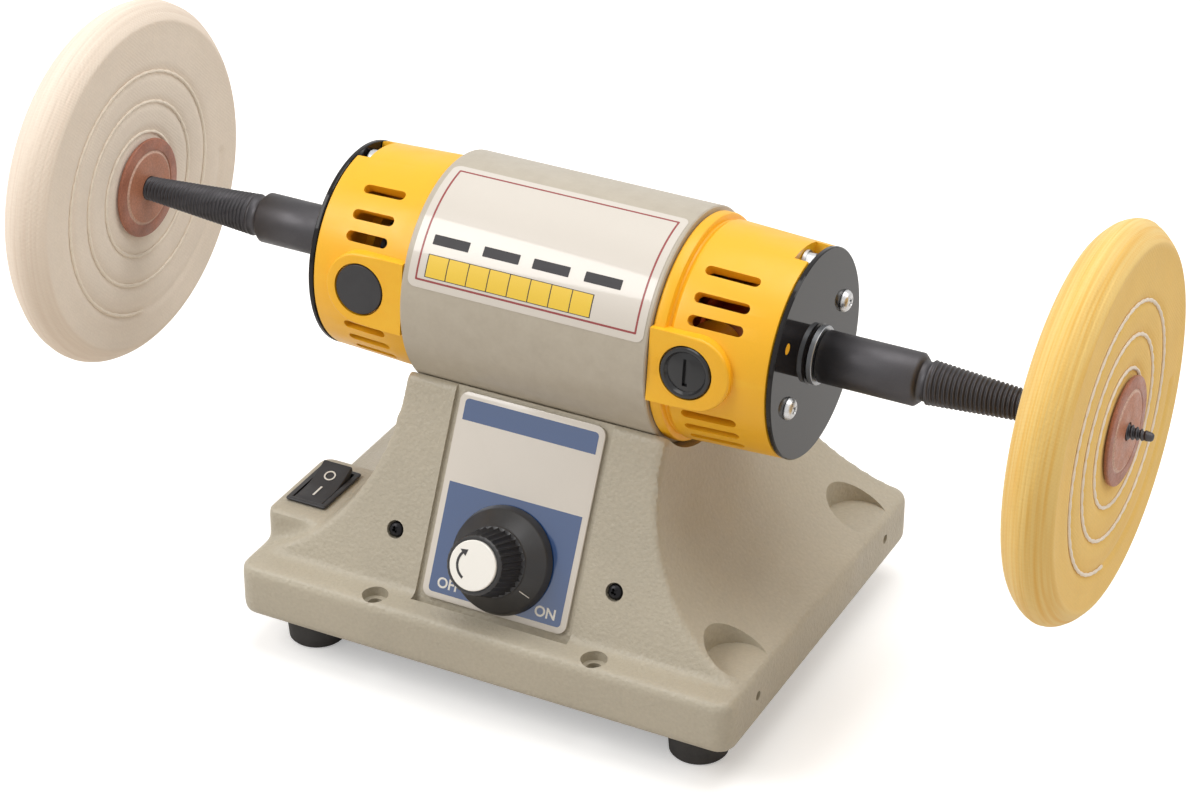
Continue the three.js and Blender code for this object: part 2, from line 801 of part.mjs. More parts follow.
// Places along one end of the motor, measured from the middle.
function endPlaces(side, bodyEnd, plateReach) {
  const capEnd = plateReach - plateThickness - gap;
  const webOuter = capEnd - capWebInset;
  const bearingOuter = capEnd - 2 * gap;
  return {
    side,
    root: bodyEnd + gap,
    webInner: webOuter - capWebThickness,
    webOuter,
    boltSeat: capEnd - notchDepth,
    bearingInner: bearingOuter - bearingWidth,
    bearingOuter,
    capEnd,
    plateReach,
    spindleStart: plateReach + plateRimHeight + gap,
  };
}
const ends = {
  left: {
    ...endPlaces(-1, bodyLeft, plateLeft),
    ventLength: leftVentLength,
    flanged: false,
    padCentre: plugReach,
    padNose: plugPadNose,
    padAngles: [0],
  },
  right: {
    ...endPlaces(1, bodyRight, plateRight),
    ventLength: rightVentLength,
    flanged: true,
    padCentre: brushReach,
    padNose: brushPadNose,
    padAngles: [0, 180],
  },
};

// The cap's turned shell: spigot, wall, web and bearing hub.
function capShell({ side, root, flanged, webInner, webOuter, bearingInner, capEnd }) {
  const lipStart = bearingInner - gap - capWebThickness / 2;
  const rim = flanged
    ? [[root + flangeWidth, capRootRadius], [root + flangeWidth, flangeRadius], [root, flangeRadius]]
    : [[root, capRootRadius]];
  const outline = [
    [root - capSpigot, capBore],
    [webInner, capBore],
    [webInner, hubRadius],
    [lipStart, hubRadius],
    [lipStart, hubBore - hubWall / 2],
    [bearingInner - gap, hubBore - hubWall / 2],
    [bearingInner - gap, hubBore],
    [capEnd, hubBore],
    [capEnd, hubRadius],
    [webOuter, hubRadius],
    [webOuter, capBore],
    [capEnd, capBore],
    [capEnd, plateRadius],
    ...rim,
    [root, bodyBore - gap],
    [root - capSpigot, bodyBore - gap],
  ];
  return solidOf(turnedOnSide(side, outline, bodySides));
}

// The flat raised pad round a brush cap or a plug.
function capPad({ side, root, padCentre, padNose }, angle) {
  const nose = arc(padCentre + padNose - padHalfHeight, 0, padHalfHeight, -Math.PI / 2, Math.PI / 2);
  const outline = [[root, padHalfHeight], [root, -padHalfHeight], ...nose].map(([x, z]) => [side * x, z]);
  return solidOf(roundMotor(drawnAlongY(outline, -padReach, -capBore), angle));
}

// A hole in a pad: a wide sink for the flange and a bore from there to its inner end.
function padHole({ side, padCentre }, angle, boreEnd) {
  const sink = rodZ(padReach - brushCapFlange, padReach + overrun, brushCapRadius + gap);
  const bore = rodZ(boreEnd, padReach, brushHoleRadius);
  const toBrushLine = (tool) => tool.rotateX(Math.PI / 2).translate(side * padCentre, 0, 0);
  return [sink, bore].map((tool) => solidOf(roundMotor(toBrushLine(tool), angle)));
}

function brushHolder(angle) {
  const holder = rodZ(brushHolderNose, padReach - overrun, brushHolderRadius).rotateX(Math.PI / 2);
  return solidOf(roundMotor(holder.translate(brushReach, 0, 0), angle));
}

function brushWay(angle) {
  const way = block(brushLength + 2 * gap, padReach, brushWidth + 2 * gap, brushReach, -padReach / 2, 0);
  return solidOf(roundMotor(way, angle));
}

function vents({ side, plateReach, ventLength }) {
  const middle = side * (plateReach - ventInset - ventLength / 2);
  const cut = capRootRadius - capBore + 2 * overrun;
  const upper = ventAnglesUp.flatMap((angle) => [angle, 180 - angle]);
  const lower = ventAnglesDown.flatMap((angle) => [-angle, 180 + angle]);
  return [...upper, ...lower].map((angle) => {
    const slot = block(ventLength, cut, ventWidth, middle, overrun - capBore - cut / 2, 0);
    return solidOf(roundMotor(slot, angle));
  });
}

// A place on a circle round the motor axis, as Y and Z, at an angle up from the front.
const roundAxis = (circle, angle) => [-circle * Math.cos(degrees(angle)), circle * Math.sin(degrees(angle))];

// A rod along X, off the axis, on one side of the motor.
function offAxisRod(side, from, to, radius, [y, z], sides = screwSides) {
  return solidOf(turnedOnSide(side, rod(from, to, radius), sides).translate(0, y, z));
}

const boltPlaces = [90, 270].map((angle) => roundAxis(boltCircle, angle));
const plateScrewPlaces = [plateScrewAngle, plateScrewAngle - 180].map((angle) =>
  roundAxis(plateScrewCircle, angle),
);

function notches({ side, boltSeat, capEnd }) {
  const [inner, outer] = [boltCircle - boltBoss, capRootRadius + overrun];
  return [90, 270].map((middle) => {
    const [low, high] = [middle - notchHalfAngle, middle + notchHalfAngle];
    const lowSide = [roundAxis(inner, low), roundAxis(outer, low)];
    const outline = [...lowSide, roundAxis(outer, high), roundAxis(inner, high)];
    const [from, to] = [side * boltSeat, side * (capEnd + overrun)].sort((a, b) => a - b);
    return solidOf(drawnAlongX(outline, from, to));
  });
}

function endCap(end, holdsBrushes) {
  const { side, root, padAngles, webInner, boltSeat, capEnd } = end;
  const holders = holdsBrushes ? padAngles.map(brushHolder) : [];
  const bosses = boltPlaces.map((at) => offAxisRod(side, root, boltSeat, boltBoss, at));
  const posts = plateScrewPlaces.map((at) => offAxisRod(side, webInner, capEnd, postRadius, at));
  const pads = padAngles.map((angle) => capPad(end, angle));
  const solid = joined([capShell(end), ...pads, ...holders, ...bosses, ...posts]);
  const boreEnd = holdsBrushes ? padReach - brushCapDepth - gap : capBore - capWall;
  const ways = holdsBrushes ? padAngles.map(brushWay) : [];
  const boltStart = root - capSpigot - overrun;
  const boltHoles = boltPlaces.map((at) => offAxisRod(side, boltStart, capEnd, boltRadius + gap, at));
  const screwHoles = plateScrewPlaces.map((at) =>
    offAxisRod(side, webInner - overrun, capEnd + overrun, plateScrewShank + gap, at),
  );
  const holes = padAngles.flatMap((angle) => padHole(end, angle, boreEnd));
  return cutBy(solid, [...holes, ...ways, ...boltHoles, ...screwHoles, ...notches(end), ...vents(end)]);
}

function endPlate({ side, plateReach, capEnd }) {
  const disc = turnedOnSide(
    side,
    [
      [plateReach - plateThickness, plateHole],
      [plateReach - plateThickness, plateRadius],
      [plateReach, plateRadius],
      [plateReach, plateRimRadius],
      [plateReach + plateRimHeight, plateRimRadius],
      [plateReach + plateRimHeight, plateHole],
    ],
    bodySides,
  );
  const through = (radius, at) => offAxisRod(side, capEnd, plateReach + overrun, radius, at);
  const screws = plateScrewPlaces.map((at) => through(plateScrewShank + gap, at));
  return cutBy(solidOf(disc), [...screws, through(peepHoleRadius, roundAxis(peepHoleCircle, peepHoleAngle))]);
}

function plateScrew({ side, plateReach }, [y, z]) {
  const seat = plateReach + gap;
  const outline = [
    [seat - plateScrewLength, 0],
    [seat - plateScrewLength, plateScrewShank],
    [seat, plateScrewShank],
    [seat, plateScrewHead],
    [seat + plateScrewHeadHeight / 2, plateScrewHead],
    [seat + plateScrewHeadHeight, plateScrewHead / 2],
    [seat + plateScrewHeadHeight, 0],
  ];
  return turnedOnSide(side, outline, screwSides).translate(0, y, z);
}

// The bolt holds the caps together: its head is at the right end, its nut at the left.
function tieBolt([y, z]) {
  const [nut, head] = [-ends.left.boltSeat - gap, ends.right.boltSeat + gap];
  const outline = [
    [nut - boltHeadHeight, 0],
    [nut - boltHeadHeight, boltHead],
    [nut, boltHead],
    [nut, boltRadius],
    [head, boltRadius],
    [head, boltHead],
    [head + boltHeadHeight, boltHead],
    [head + boltHeadHeight, 0],
  ];
  return turnedX(outline, screwSides).translate(0, y, z);
}

// Brush gear

function padFitting({ side, padCentre }, angle, depth) {
  const fitting = turnedZ([
    [padReach - depth, 0],
    [padReach - depth, brushCapPlug],
    [padReach - brushCapFlange + gap, brushCapPlug],
    [padReach - brushCapFlange + gap, brushCapRadius],
    [padReach, brushCapRadius],
    [padReach, 0],
  ]);
  return roundMotor(fitting.rotateX(Math.PI / 2).translate(side * padCentre, 0, 0), angle);
}

function brushCap(angle) {
  const slot = block(brushCapSlotWidth, 2 * brushCapSlotDepth, 2 * brushCapPlug, brushReach, -padReach, 0);
  return solidOf(padFitting(ends.right, angle, brushCapDepth)).subtract(solidOf(roundMotor(slot, angle)));
}

function carbonBrush(angle) {
  const inner = commutatorRadius + gap;
  const length = brushOuterEnd - inner;
  return roundMotor(block(brushLength, length, brushWidth, brushReach, -inner - length / 2, 0), angle);
}

// Stator

function statorCore() {
  const half = coreLength / 2;
  const ring = ringX(-half, half, statorInner, statorOuter, bodySides);
  const poles = [90, 270].flatMap((middle) => {
    const [low, high] = [degrees(180 - middle - poleHalfAngle), degrees(180 - middle + poleHalfAngle)];
    const face = arc(0, 0, poleFace, low, high);
    const back = arc(0, 0, poleFace + poleShoe, high, low);
    const neckLength = statorInner + statorRing / 2 - poleFace - gap;
    const neckMiddle = -poleFace - gap - neckLength / 2;
    const neck = block(coreLength, neckLength, poleNeck, 0, neckMiddle, 0);
    return [solidOf(drawnAlongX([...face, ...back], -half, half)), solidOf(roundMotor(neck, middle))];
  });
  const boltHoles = boltPlaces.map((at) =>
    offAxisRod(1, -half - overrun, half + overrun, boltRadius + gap, at),
  );
  return cutBy(joined([solidOf(ring), ...poles]), boltHoles);
}

// A coil lies round the neck of its pole, outside the shoe.
function fieldCoil(angle) {
  const inner = poleFace + poleShoe + gap;
  const middle = -inner - coilDepth / 2;
  const [wayLength, wayWidth] = [coreLength + 2 * gap, poleNeck + 2 * gap];
  const outside = drawnOut(
    roundedRectangle(wayLength + 2 * coilWidth, wayWidth + 2 * coilWidth, coilWidth),
    -coilDepth / 2,
    coilDepth / 2,
  );
  const way = block(wayLength, wayWidth, coilDepth + 2 * overrun);
  const coil = solidOf(outside).subtract(solidOf(way));
  return roundMotor(geometryOf(coil).rotateX(Math.PI / 2).translate(0, middle, 0), angle);
}

// Rotor

const slotAngles = Array.from({ length: rotorSlots }, (_, slot) => ((slot + 0.5) * 360) / rotorSlots);

function rotorCore() {
  const half = coreLength / 2;
  const depth = rotorSlotDepth + overrun;
  const middle = rotorRadius + overrun - depth / 2;
  const slots = slotAngles.map((angle) =>
    solidOf(roundMotor(block(coreLength + 2 * overrun, depth, rotorSlotWidth, 0, -middle, 0), angle)),
  );
  return cutBy(solidOf(ringX(-half, half, shaftBore, rotorRadius)), slots);
}

// The winding runs through the slots and turns at both ends of the core.
function rotorWinding() {
  const inner = coreLength / 2 + gap;
  const outer = inner + windingEnd;
  const depth = rotorSlotDepth - 2 * gap;
  const middle = rotorRadius - gap - depth / 2;
  const bars = slotAngles.map((angle) =>
    solidOf(roundMotor(block(inner + outer, depth, rotorSlotWidth - 2 * gap, 0, -middle, 0), angle)),
  );
  const turns = [-1, 1].map((side) =>
    solidOf(
      turnedOnSide(side, [
        [inner, windingInner],
        [inner, rotorRadius - gap],
        [inner + windingEnd / 2, rotorRadius - gap],
        [outer, rotorRadius - gap - windingRound],
        [outer, windingInner],
      ]),
    ),
  );
  return joined([...turns, ...bars]);
}

function commutator() {
  return turnedX([
    [commutatorInner - riserWidth, shaftBore],
    [commutatorInner - riserWidth, riserRadius],
    [commutatorInner, riserRadius],
    [commutatorInner, commutatorRadius],
    [commutatorOuter, commutatorRadius],
    [commutatorOuter, shaftBore],
  ]);
}

function coolingFan() {
  const discOuter = fanInner + fanDisc;
  const bladeOuter = discOuter + fanBladeLength;
  const disc = ringX(-discOuter, -fanInner, shaftBore, fanRadius);
  const hub = ringX(-bladeOuter, -fanInner, shaftBore, fanHub);
  const bladeDepth = fanRadius - fanHub;
  const bladeLength = fanBladeLength + fanDisc / 2;
  const blades = Array.from({ length: fanBlades }, (_, blade) => {
    const blank = block(bladeLength, bladeDepth, fanBladeThickness, bladeLength / 2 - bladeOuter, 0, 0);
    blank.translate(0, bladeDepth / 2 + gap - fanRadius, 0);
    return solidOf(roundMotor(blank, (blade * 360) / fanBlades));
  });
  return joined([solidOf(disc), solidOf(hub), ...blades]);
}

function bearingRing({ side, bearingInner, bearingOuter }, inner, outer) {
  return ringX(side * bearingInner, side * bearingOuter, inner, outer);
}

// Spindles, buffs and washers

// Radius over the thread at a place along the taper, and of the plain tip past it.
function taperRadius(reach) {
  const [from, to, start, end] =
    reach < threadEnd
      ? [threadStart, threadEnd, threadFootRadius, threadTipRadius]
      : [threadEnd, spindleTip, threadTipRadius, spindleTipRadius];
  return start + ((end - start) * (reach - from)) / (to - from);
}

function spindle({ side, spindleStart }) {
  const turns = Math.round((threadEnd - threadStart) / threadPitch);
  const ridges = Array.from({ length: 2 * turns + 1 }, (_, half) => {
    const reach = threadStart + (half * (threadEnd - threadStart)) / (2 * turns);
    return [reach, taperRadius(reach) - (half % 2 ? 0 : threadDepth)];
  });
  const outline = [
    [shaftReach + gap, 0],
    [shaftReach + gap, shaftBore],
    [spindleStart, shaftBore],
    [spindleStart, sleeveRadius],
    [sleeveEnd - sleeveBevel, sleeveRadius],
    [sleeveEnd, sleeveRadius - sleeveBevel],
    [sleeveEnd, neckRadius],
    ...ridges,
    [spindleTip, spindleTipRadius],
    [spindleTip, 0],
  ];
  return turnedOnSide(side, outline, spindleSides);
}

function buff({ side }) {
  const bore = taperRadius(buffInnerFace) + gap;
  const middle = (buffInnerFace + buffOuterFace) / 2;
  return turnedOnSide(
    side,
    [
      [buffInnerFace, bore],
      [buffInnerFace, buffFaceRadius],
      [buffInnerFace + buffShoulder, buffShoulderRadius],
      [middle - buffShoulder, buffRadius],
      [middle + buffShoulder, buffRadius],
      [buffOuterFace - buffShoulder, buffShoulderRadius],
      [buffOuterFace, buffFaceRadius],
      [buffOuterFace, bore],
    ],
    bodySides,
  );
}

function washer({ side }, from) {
  const bore = taperRadius(from) + gap;
  return ringX(side * from, side * (from + washerThickness), bore, washerRadius);
}

// The assembly

function placeBase() {
  place("base_casting", baseCasting(), castPaint);
  place("base_cover", baseCover(), steel);
  footPlaces.forEach(([x, y]) => {
    const corner = (y < 0 ? "front_" : "back_") + (x < 0 ? "left" : "right");
    const at = new THREE.Matrix4().makeTranslation(x, y, 0);
    place("foot_" + corner, rubberFoot(), rubber, at);
    place("foot_screw_" + corner, footScrew(), zinc, at);
  });
  const at = new THREE.Matrix4().makeTranslation(-switchCentreX, switchCentreY, 0);
  place("rocker_frame", rockerFrame(), blackPlastic, at);
  const pivot = new THREE.Matrix4().makeTranslation(-switchCentreX, switchCentreY, rockerPivot);
  place("rocker_key", rockerKey(), blackPlastic, pivot);
  place("cord_grommet", cordGrommet(), rubber);
}

function placeControls() {
  place("control_panel", controlPanel(), panelPrint, frontPlane);
  place("control_bracket", controlBracket(), steel, atControl);
  onBothSides(frontScrewSpacing / 2).forEach((x) => {
    const at = new THREE.Matrix4().makeTranslation(x, 0, 0).premultiply(atControl);
    place("front_screw_" + (x < 0 ? "left" : "right"), frontScrew(), blackSteel, at);
  });
  place("potentiometer", potentiometer(), zinc, atControl);
  place("potentiometer_shaft", potentiometerShaft(), steel, atControl);
  place("circuit_board", circuitBoard(), boardLaminate, atControl);
  place("speed_knob", speedKnob(), blackPlastic, atControl);
  place("knob_insert", knobInsert(), insertPrint, atControl);
}

function placeMotor() {
  const upright = new THREE.Matrix4().makeTranslation(0, 0, axisHeight);
  place("motor_body", motorBody(), castPaint, upright);
  onBothSides(mountScrewX).forEach((x) => {
    const at = new THREE.Matrix4().makeTranslation(x, 0, axisHeight);
    place("motor_mount_screw_" + (x < 0 ? "left" : "right"), mountScrew(), zinc, at);
  });
  place("stator_core", statorCore(), steel, motorFrame);
  place("field_coil_top", fieldCoil(90), copper, motorFrame);
  place("field_coil_bottom", fieldCoil(270), copper, motorFrame);
  boltPlaces.forEach((at, index) => {
    place("tie_bolt_" + ["top", "bottom"][index], tieBolt(at), zinc, motorFrame);
  });
  ["front", "back"].forEach((where, index) => {
    place("brush_cap_" + where, brushCap(180 * index), blackPlastic, motorFrame);
    place("carbon_brush_" + where, carbonBrush(180 * index), carbon, motorFrame);
  });
  place("blank_plug", padFitting(ends.left, 0, plugDepth), blackPlastic, motorFrame);
}

function placeEnd(name) {
  const end = ends[name];
  place("end_cap_" + name, endCap(end, name === "right"), yellowPlastic, motorFrame);
  place("end_plate_" + name, endPlate(end), satinBlack, motorFrame);
  plateScrewPlaces.forEach((at, index) => {
    place("end_plate_screw_" + name + "_" + ["back", "front"][index], plateScrew(end, at), zinc, motorFrame);
  });
  place("bearing_outer_" + name, bearingRing(end, bearingGroove + gap, bearingRadius), steel, motorFrame);
  place("bearing_inner_" + name, bearingRing(end, shaftBore, bearingGroove), steel, motorFrame);
  place("spindle_" + name, spindle(end), blackSteel, motorFrame);
  place("buff_" + name, buff(end), name === "left" ? creamCotton : yellowCotton, motorFrame);
  const innerWasher = buffInnerFace - gap - washerThickness;
  place("washer_" + name + "_inner", washer(end, innerWasher), leather, motorFrame);
  place("washer_" + name + "_outer", washer(end, buffOuterFace + gap), leather, motorFrame);
}

function placeRotor() {
  place("motor_shaft", rodX(-shaftReach, shaftReach, shaftRadius), steel, motorFrame);
  place("rotor_core", rotorCore(), steel, motorFrame);
  place("rotor_winding", rotorWinding(), copper, motorFrame);
  place("commutator", commutator(), copper, motorFrame);
  place("cooling_fan", coolingFan(), blackPlastic, motorFrame);
}

placeBase();
placeControls();
placeMotor();
placeEnd("left");
placeEnd("right");
placeRotor();

export default machine;
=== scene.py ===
"""The looks of a bench polishing machine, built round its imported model.

Lengths are in millimetres until a piece is fitted, and angles are in degrees.
"""

import json
import logging
import math
from contextlib import contextmanager
from dataclasses import dataclass
from enum import Enum
from typing import Callable, Iterator, Sequence

import bmesh
import bpy
from mathutils import Matrix, Vector, noise

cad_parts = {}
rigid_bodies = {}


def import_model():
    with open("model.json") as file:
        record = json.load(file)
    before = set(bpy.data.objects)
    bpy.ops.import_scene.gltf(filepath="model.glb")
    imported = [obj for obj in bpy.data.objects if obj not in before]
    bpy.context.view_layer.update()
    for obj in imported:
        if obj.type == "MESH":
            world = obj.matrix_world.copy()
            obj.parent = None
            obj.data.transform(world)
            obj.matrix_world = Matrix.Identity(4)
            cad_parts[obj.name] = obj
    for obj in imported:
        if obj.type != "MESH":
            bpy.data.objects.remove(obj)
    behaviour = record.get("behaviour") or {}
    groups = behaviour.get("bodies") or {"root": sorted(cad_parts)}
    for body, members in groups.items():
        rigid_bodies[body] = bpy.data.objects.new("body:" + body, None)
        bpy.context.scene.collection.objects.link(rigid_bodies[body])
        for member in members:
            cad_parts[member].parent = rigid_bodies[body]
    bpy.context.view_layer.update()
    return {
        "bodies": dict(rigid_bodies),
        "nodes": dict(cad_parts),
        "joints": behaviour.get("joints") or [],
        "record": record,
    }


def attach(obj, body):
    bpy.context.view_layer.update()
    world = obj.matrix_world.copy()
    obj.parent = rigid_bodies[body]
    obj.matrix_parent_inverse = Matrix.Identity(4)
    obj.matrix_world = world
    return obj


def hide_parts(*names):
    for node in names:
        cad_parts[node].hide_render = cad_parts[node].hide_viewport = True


LOG = logging.getLogger("polishing_machine")
Colour = tuple[float, float, float]
Point = tuple[float, ...]
Outline = Sequence[Point]
Node = bpy.types.Node
Socket = bpy.types.NodeSocket


class Axis(Enum):
    """The three directions of the machine's frame."""

    X = (1.0, 0.0, 0.0)
    Y = (0.0, 1.0, 0.0)
    Z = (0.0, 0.0, 1.0)


class Body(Enum):
    """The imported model's rigid bodies."""

    HOUSING = "housing"
    ROTOR = "rotor"
    KNOB = "knob"
    ROCKER = "rocker"


class Hand(Enum):
    """The two ends of the machine, each with its sign along X."""

    LEFT = -1
    RIGHT = 1

    @property
    def word(self) -> str:
        """The end's name in piece names."""
        return self.name.lower()


def turned_by(degrees: float, axis: str = "X") -> Matrix:
    """A rotation about an axis of the frame."""
    return Matrix.Rotation(math.radians(degrees), 4, axis)


# Where the machine's groups stand, and what two or more of them share.
MM = 0.001
WELD = 0.0004  # vertices nearer than this are one
SHAFT_HEIGHT = 102.9
SLAB_TOP = 27.9
FRONT_EDGE = -52.5
FRONT_LEAN = 25.631734
KNOB_UP = 16.2
FRONT_SCREW_X = 34
SWITCH_AT = (-66.6, -29.9)
CORD_AT = (-40, 19.9)
MOUNT_HOLES = ((-31, 2.3), (31, 2.3), (23.5, 2.4))  # place along X and radius
BOLT_CIRCLE = 24.9
BOLTS = {"top": 90, "bottom": 270}
PLATE_SCREWS = {"back": (19.3, 150), "front": (19.3, -30)}
PEG = (21.9, 23)
MOTOR_FRAME = Matrix.Translation((0, 0, SHAFT_HEIGHT)) @ turned_by(-7)
FRONT_FRAME = Matrix.Translation((0, FRONT_EDGE, SLAB_TOP)) @ turned_by(90 - FRONT_LEAN)
KNOB_FRAME = FRONT_FRAME @ Matrix.Translation((0, KNOB_UP, 0))


# ---- shader nodes


class Wiring:
    """Adds and joins the nodes of one tree."""

    def __init__(self, tree: bpy.types.NodeTree) -> None:
        """Takes the tree that the nodes go in."""
        self.tree = tree

    def feed(self, node: Node, inputs: dict) -> None:
        """Sets or joins a node's inputs.

        Args:
            node: the node.
            inputs: socket names or numbers to a value, or to the output socket that feeds them.
        """
        for name, value in inputs.items():
            if isinstance(value, Socket):
                self.tree.links.new(value, node.inputs[name])
            else:
                node.inputs[name].default_value = value

    def add(self, kind: str, inputs: dict | None = None, **settings: object) -> Node:
        """Adds a node.

        Args:
            kind: the node's type name.
            inputs: its inputs, as feed takes them.
            **settings: the node's own properties.

        Returns:
            The new node.
        """
        node = self.tree.nodes.new(kind)
        for name, value in settings.items():
            setattr(node, name, value)
        self.feed(node, inputs or {})
        return node

    def math(self, operation: str, *values: object) -> Socket:
        """Adds a Math node and returns its output."""
        return self.add("ShaderNodeMath", dict(enumerate(values)), operation=operation).outputs[0]

    def blend(self, share: object, first: object, second: object) -> Socket:
        """Mixes two colours, by the share of the second, and returns the result."""
        pair = {n: c if isinstance(c, Socket) else (*c, 1.0) for n, c in ((6, first), (7, second))}
        return self.add("ShaderNodeMix", {0: share, **pair}, data_type="RGBA").outputs[2]

    def noise(self, place: Socket, scale: object, detail: float = 3.0) -> Socket:
        """Adds a Noise texture and returns its value."""
        inputs = {"Vector": place, "Scale": scale, "Detail": detail, "Roughness": 0.55}
        return self.add("ShaderNodeTexNoise", inputs).outputs["Fac"]

    def spread(self, value: Socket, low: float, high: float, start: object = 0.3, end: object = 0.7) -> Socket:
        """Maps start to end, the middle of a texture's range, onto low to high and returns the result."""
        inputs = {"Value": value, "From Min": start, "From Max": end, "To Min": low, "To Max": high}
        return self.add("ShaderNodeMapRange", inputs).outputs[0]


class Group(Wiring):
    """The wiring of a shader group that several finishes share."""

    def open(self, **inlets: object) -> dict[str, Socket]:
        """Gives the group its inputs.

        Args:
            **inlets: their names and starting values; None is a vector with no value.

        Returns:
            The inputs as the group's own nodes see them.
        """
        for name, value in inlets.items():
            kind = "Vector" if value is None else "Color" if isinstance(value, tuple) else "Float"
            socket = self.tree.interface.new_socket(name, in_out="INPUT", socket_type="NodeSocket" + kind)
            if value is not None:
                socket.default_value = value
        start = self.tree.nodes.new("NodeGroupInput")
        return {name: start.outputs[name] for name in inlets}

    def close(self, **outlets: Socket) -> None:
        """Gives the group its outputs.

        Args:
            **outlets: their names and the sockets that feed them.
        """
        for name, value in outlets.items():
            kind = "Color" if value.type == "RGBA" else "Float"
            self.tree.interface.new_socket(name, in_out="OUTPUT", socket_type="NodeSocket" + kind)
        self.add("NodeGroupOutput", outlets)

    def uneven_tone(self) -> None:
        """Breaks up a colour with soft patches and a fine speckle."""
        i = self.open(Vector=None, Colour=(0.5, 0.5, 0.5, 1.0), Patch=40.0, Speckle=900.0, Amount=0.1)
        patches = self.spread(self.noise(i["Vector"], i["Patch"]), -0.5, 0.5)
        specks = self.spread(self.noise(i["Vector"], i["Speckle"], 2.0), -0.35, 0.35)
        lift = self.math("MULTIPLY_ADD", self.math("ADD", patches, specks), i["Amount"], 1.0)
        hue = self.add("ShaderNodeHueSaturation", {"Color": i["Colour"], "Value": lift})
        self.close(Colour=hue.outputs[0])

    def orange_peel(self) -> None:
        """Gives the height of a sprayed or moulded skin."""
        i = self.open(Vector=None, Scale=700.0, Lumps=0.6, Fine=0.4)
        lumps = self.add("ShaderNodeTexVoronoi", {n: i[n] for n in ("Vector", "Scale")}, feature="SMOOTH_F1")
        fine = self.math("MULTIPLY", self.noise(i["Vector"], self.math("MULTIPLY", i["Scale"], 2.3)), i["Fine"])
        self.close(Height=self.math("MULTIPLY_ADD", lumps.outputs["Distance"], i["Lumps"], fine))

    def edge_wear(self) -> None:
        """Marks raised edges, broken up by noise."""
        i = self.open(Vector=None, Reach=0.53, Patch=260.0)
        point = self.add("ShaderNodeNewGeometry").outputs["Pointiness"]
        edge = self.spread(point, 0.0, 1.0, i["Reach"], self.math("ADD", i["Reach"], 0.06))
        broken = self.spread(self.noise(i["Vector"], i["Patch"]), 0.1, 1.0)
        self.close(Mask=self.math("MULTIPLY", edge, broken))

    def lathe_lines(self) -> None:
        """Draws fine turning marks along X, and their height."""
        i = self.open(Vector=None, Lines=1200.0)
        along = self.add("ShaderNodeSeparateXYZ", {0: i["Vector"]}).outputs[0]
        lines = self.noise(self.add("ShaderNodeCombineXYZ", {0: along}).outputs[0], i["Lines"], 4.0)
        self.close(Height=lines, Mask=self.spread(self.noise(i["Vector"], 160.0), 0.0, 1.0))

    def cloth_weave(self) -> None:
        """Draws the threads of a plain weave lying across X, and their height."""
        i = self.open(Vector=None, Threads=1500.0)
        inputs = {"Vector": i["Vector"], "Scale": 90.0, "Detail": 2.0}
        bend = self.add("ShaderNodeTexNoise", inputs).outputs["Color"]
        wander = self.add("ShaderNodeVectorMath", {0: bend, 3: 0.0011}, operation="SCALE").outputs[0]
        place = self.add("ShaderNodeVectorMath", {0: i["Vector"], 1: wander}, operation="ADD").outputs[0]
        parts = self.add("ShaderNodeSeparateXYZ", {0: place}).outputs
        warp, weft = (self.math("SINE", self.math("MULTIPLY", parts[n], i["Threads"])) for n in (1, 2))
        height = self.math("MULTIPLY_ADD", self.math("MULTIPLY", warp, weft), 0.5, 0.5)
        self.close(Height=height, Mask=self.spread(self.noise(place, 420.0), 0.0, 1.0))


class Effect(Enum):
    """The shader groups that several finishes share."""

    UNEVEN = "uneven tone"
    PEEL = "orange peel"
    WEAR = "edge wear"
    LATHE = "lathe lines"
    WEAVE = "cloth weave"

    def group(self) -> bpy.types.NodeTree:
        """Finds the group's tree, or builds it the first time.

        Returns:
            The node group.
        """
        made = bpy.data.node_groups.get(self.value)
        if not made:
            made = bpy.data.node_groups.new(self.value, "ShaderNodeTree")
            {
                Effect.UNEVEN: Group.uneven_tone,
                Effect.PEEL: Group.orange_peel,
                Effect.WEAR: Group.edge_wear,
                Effect.LATHE: Group.lathe_lines,
                Effect.WEAVE: Group.cloth_weave,
            }[self](Group(made))
        return made


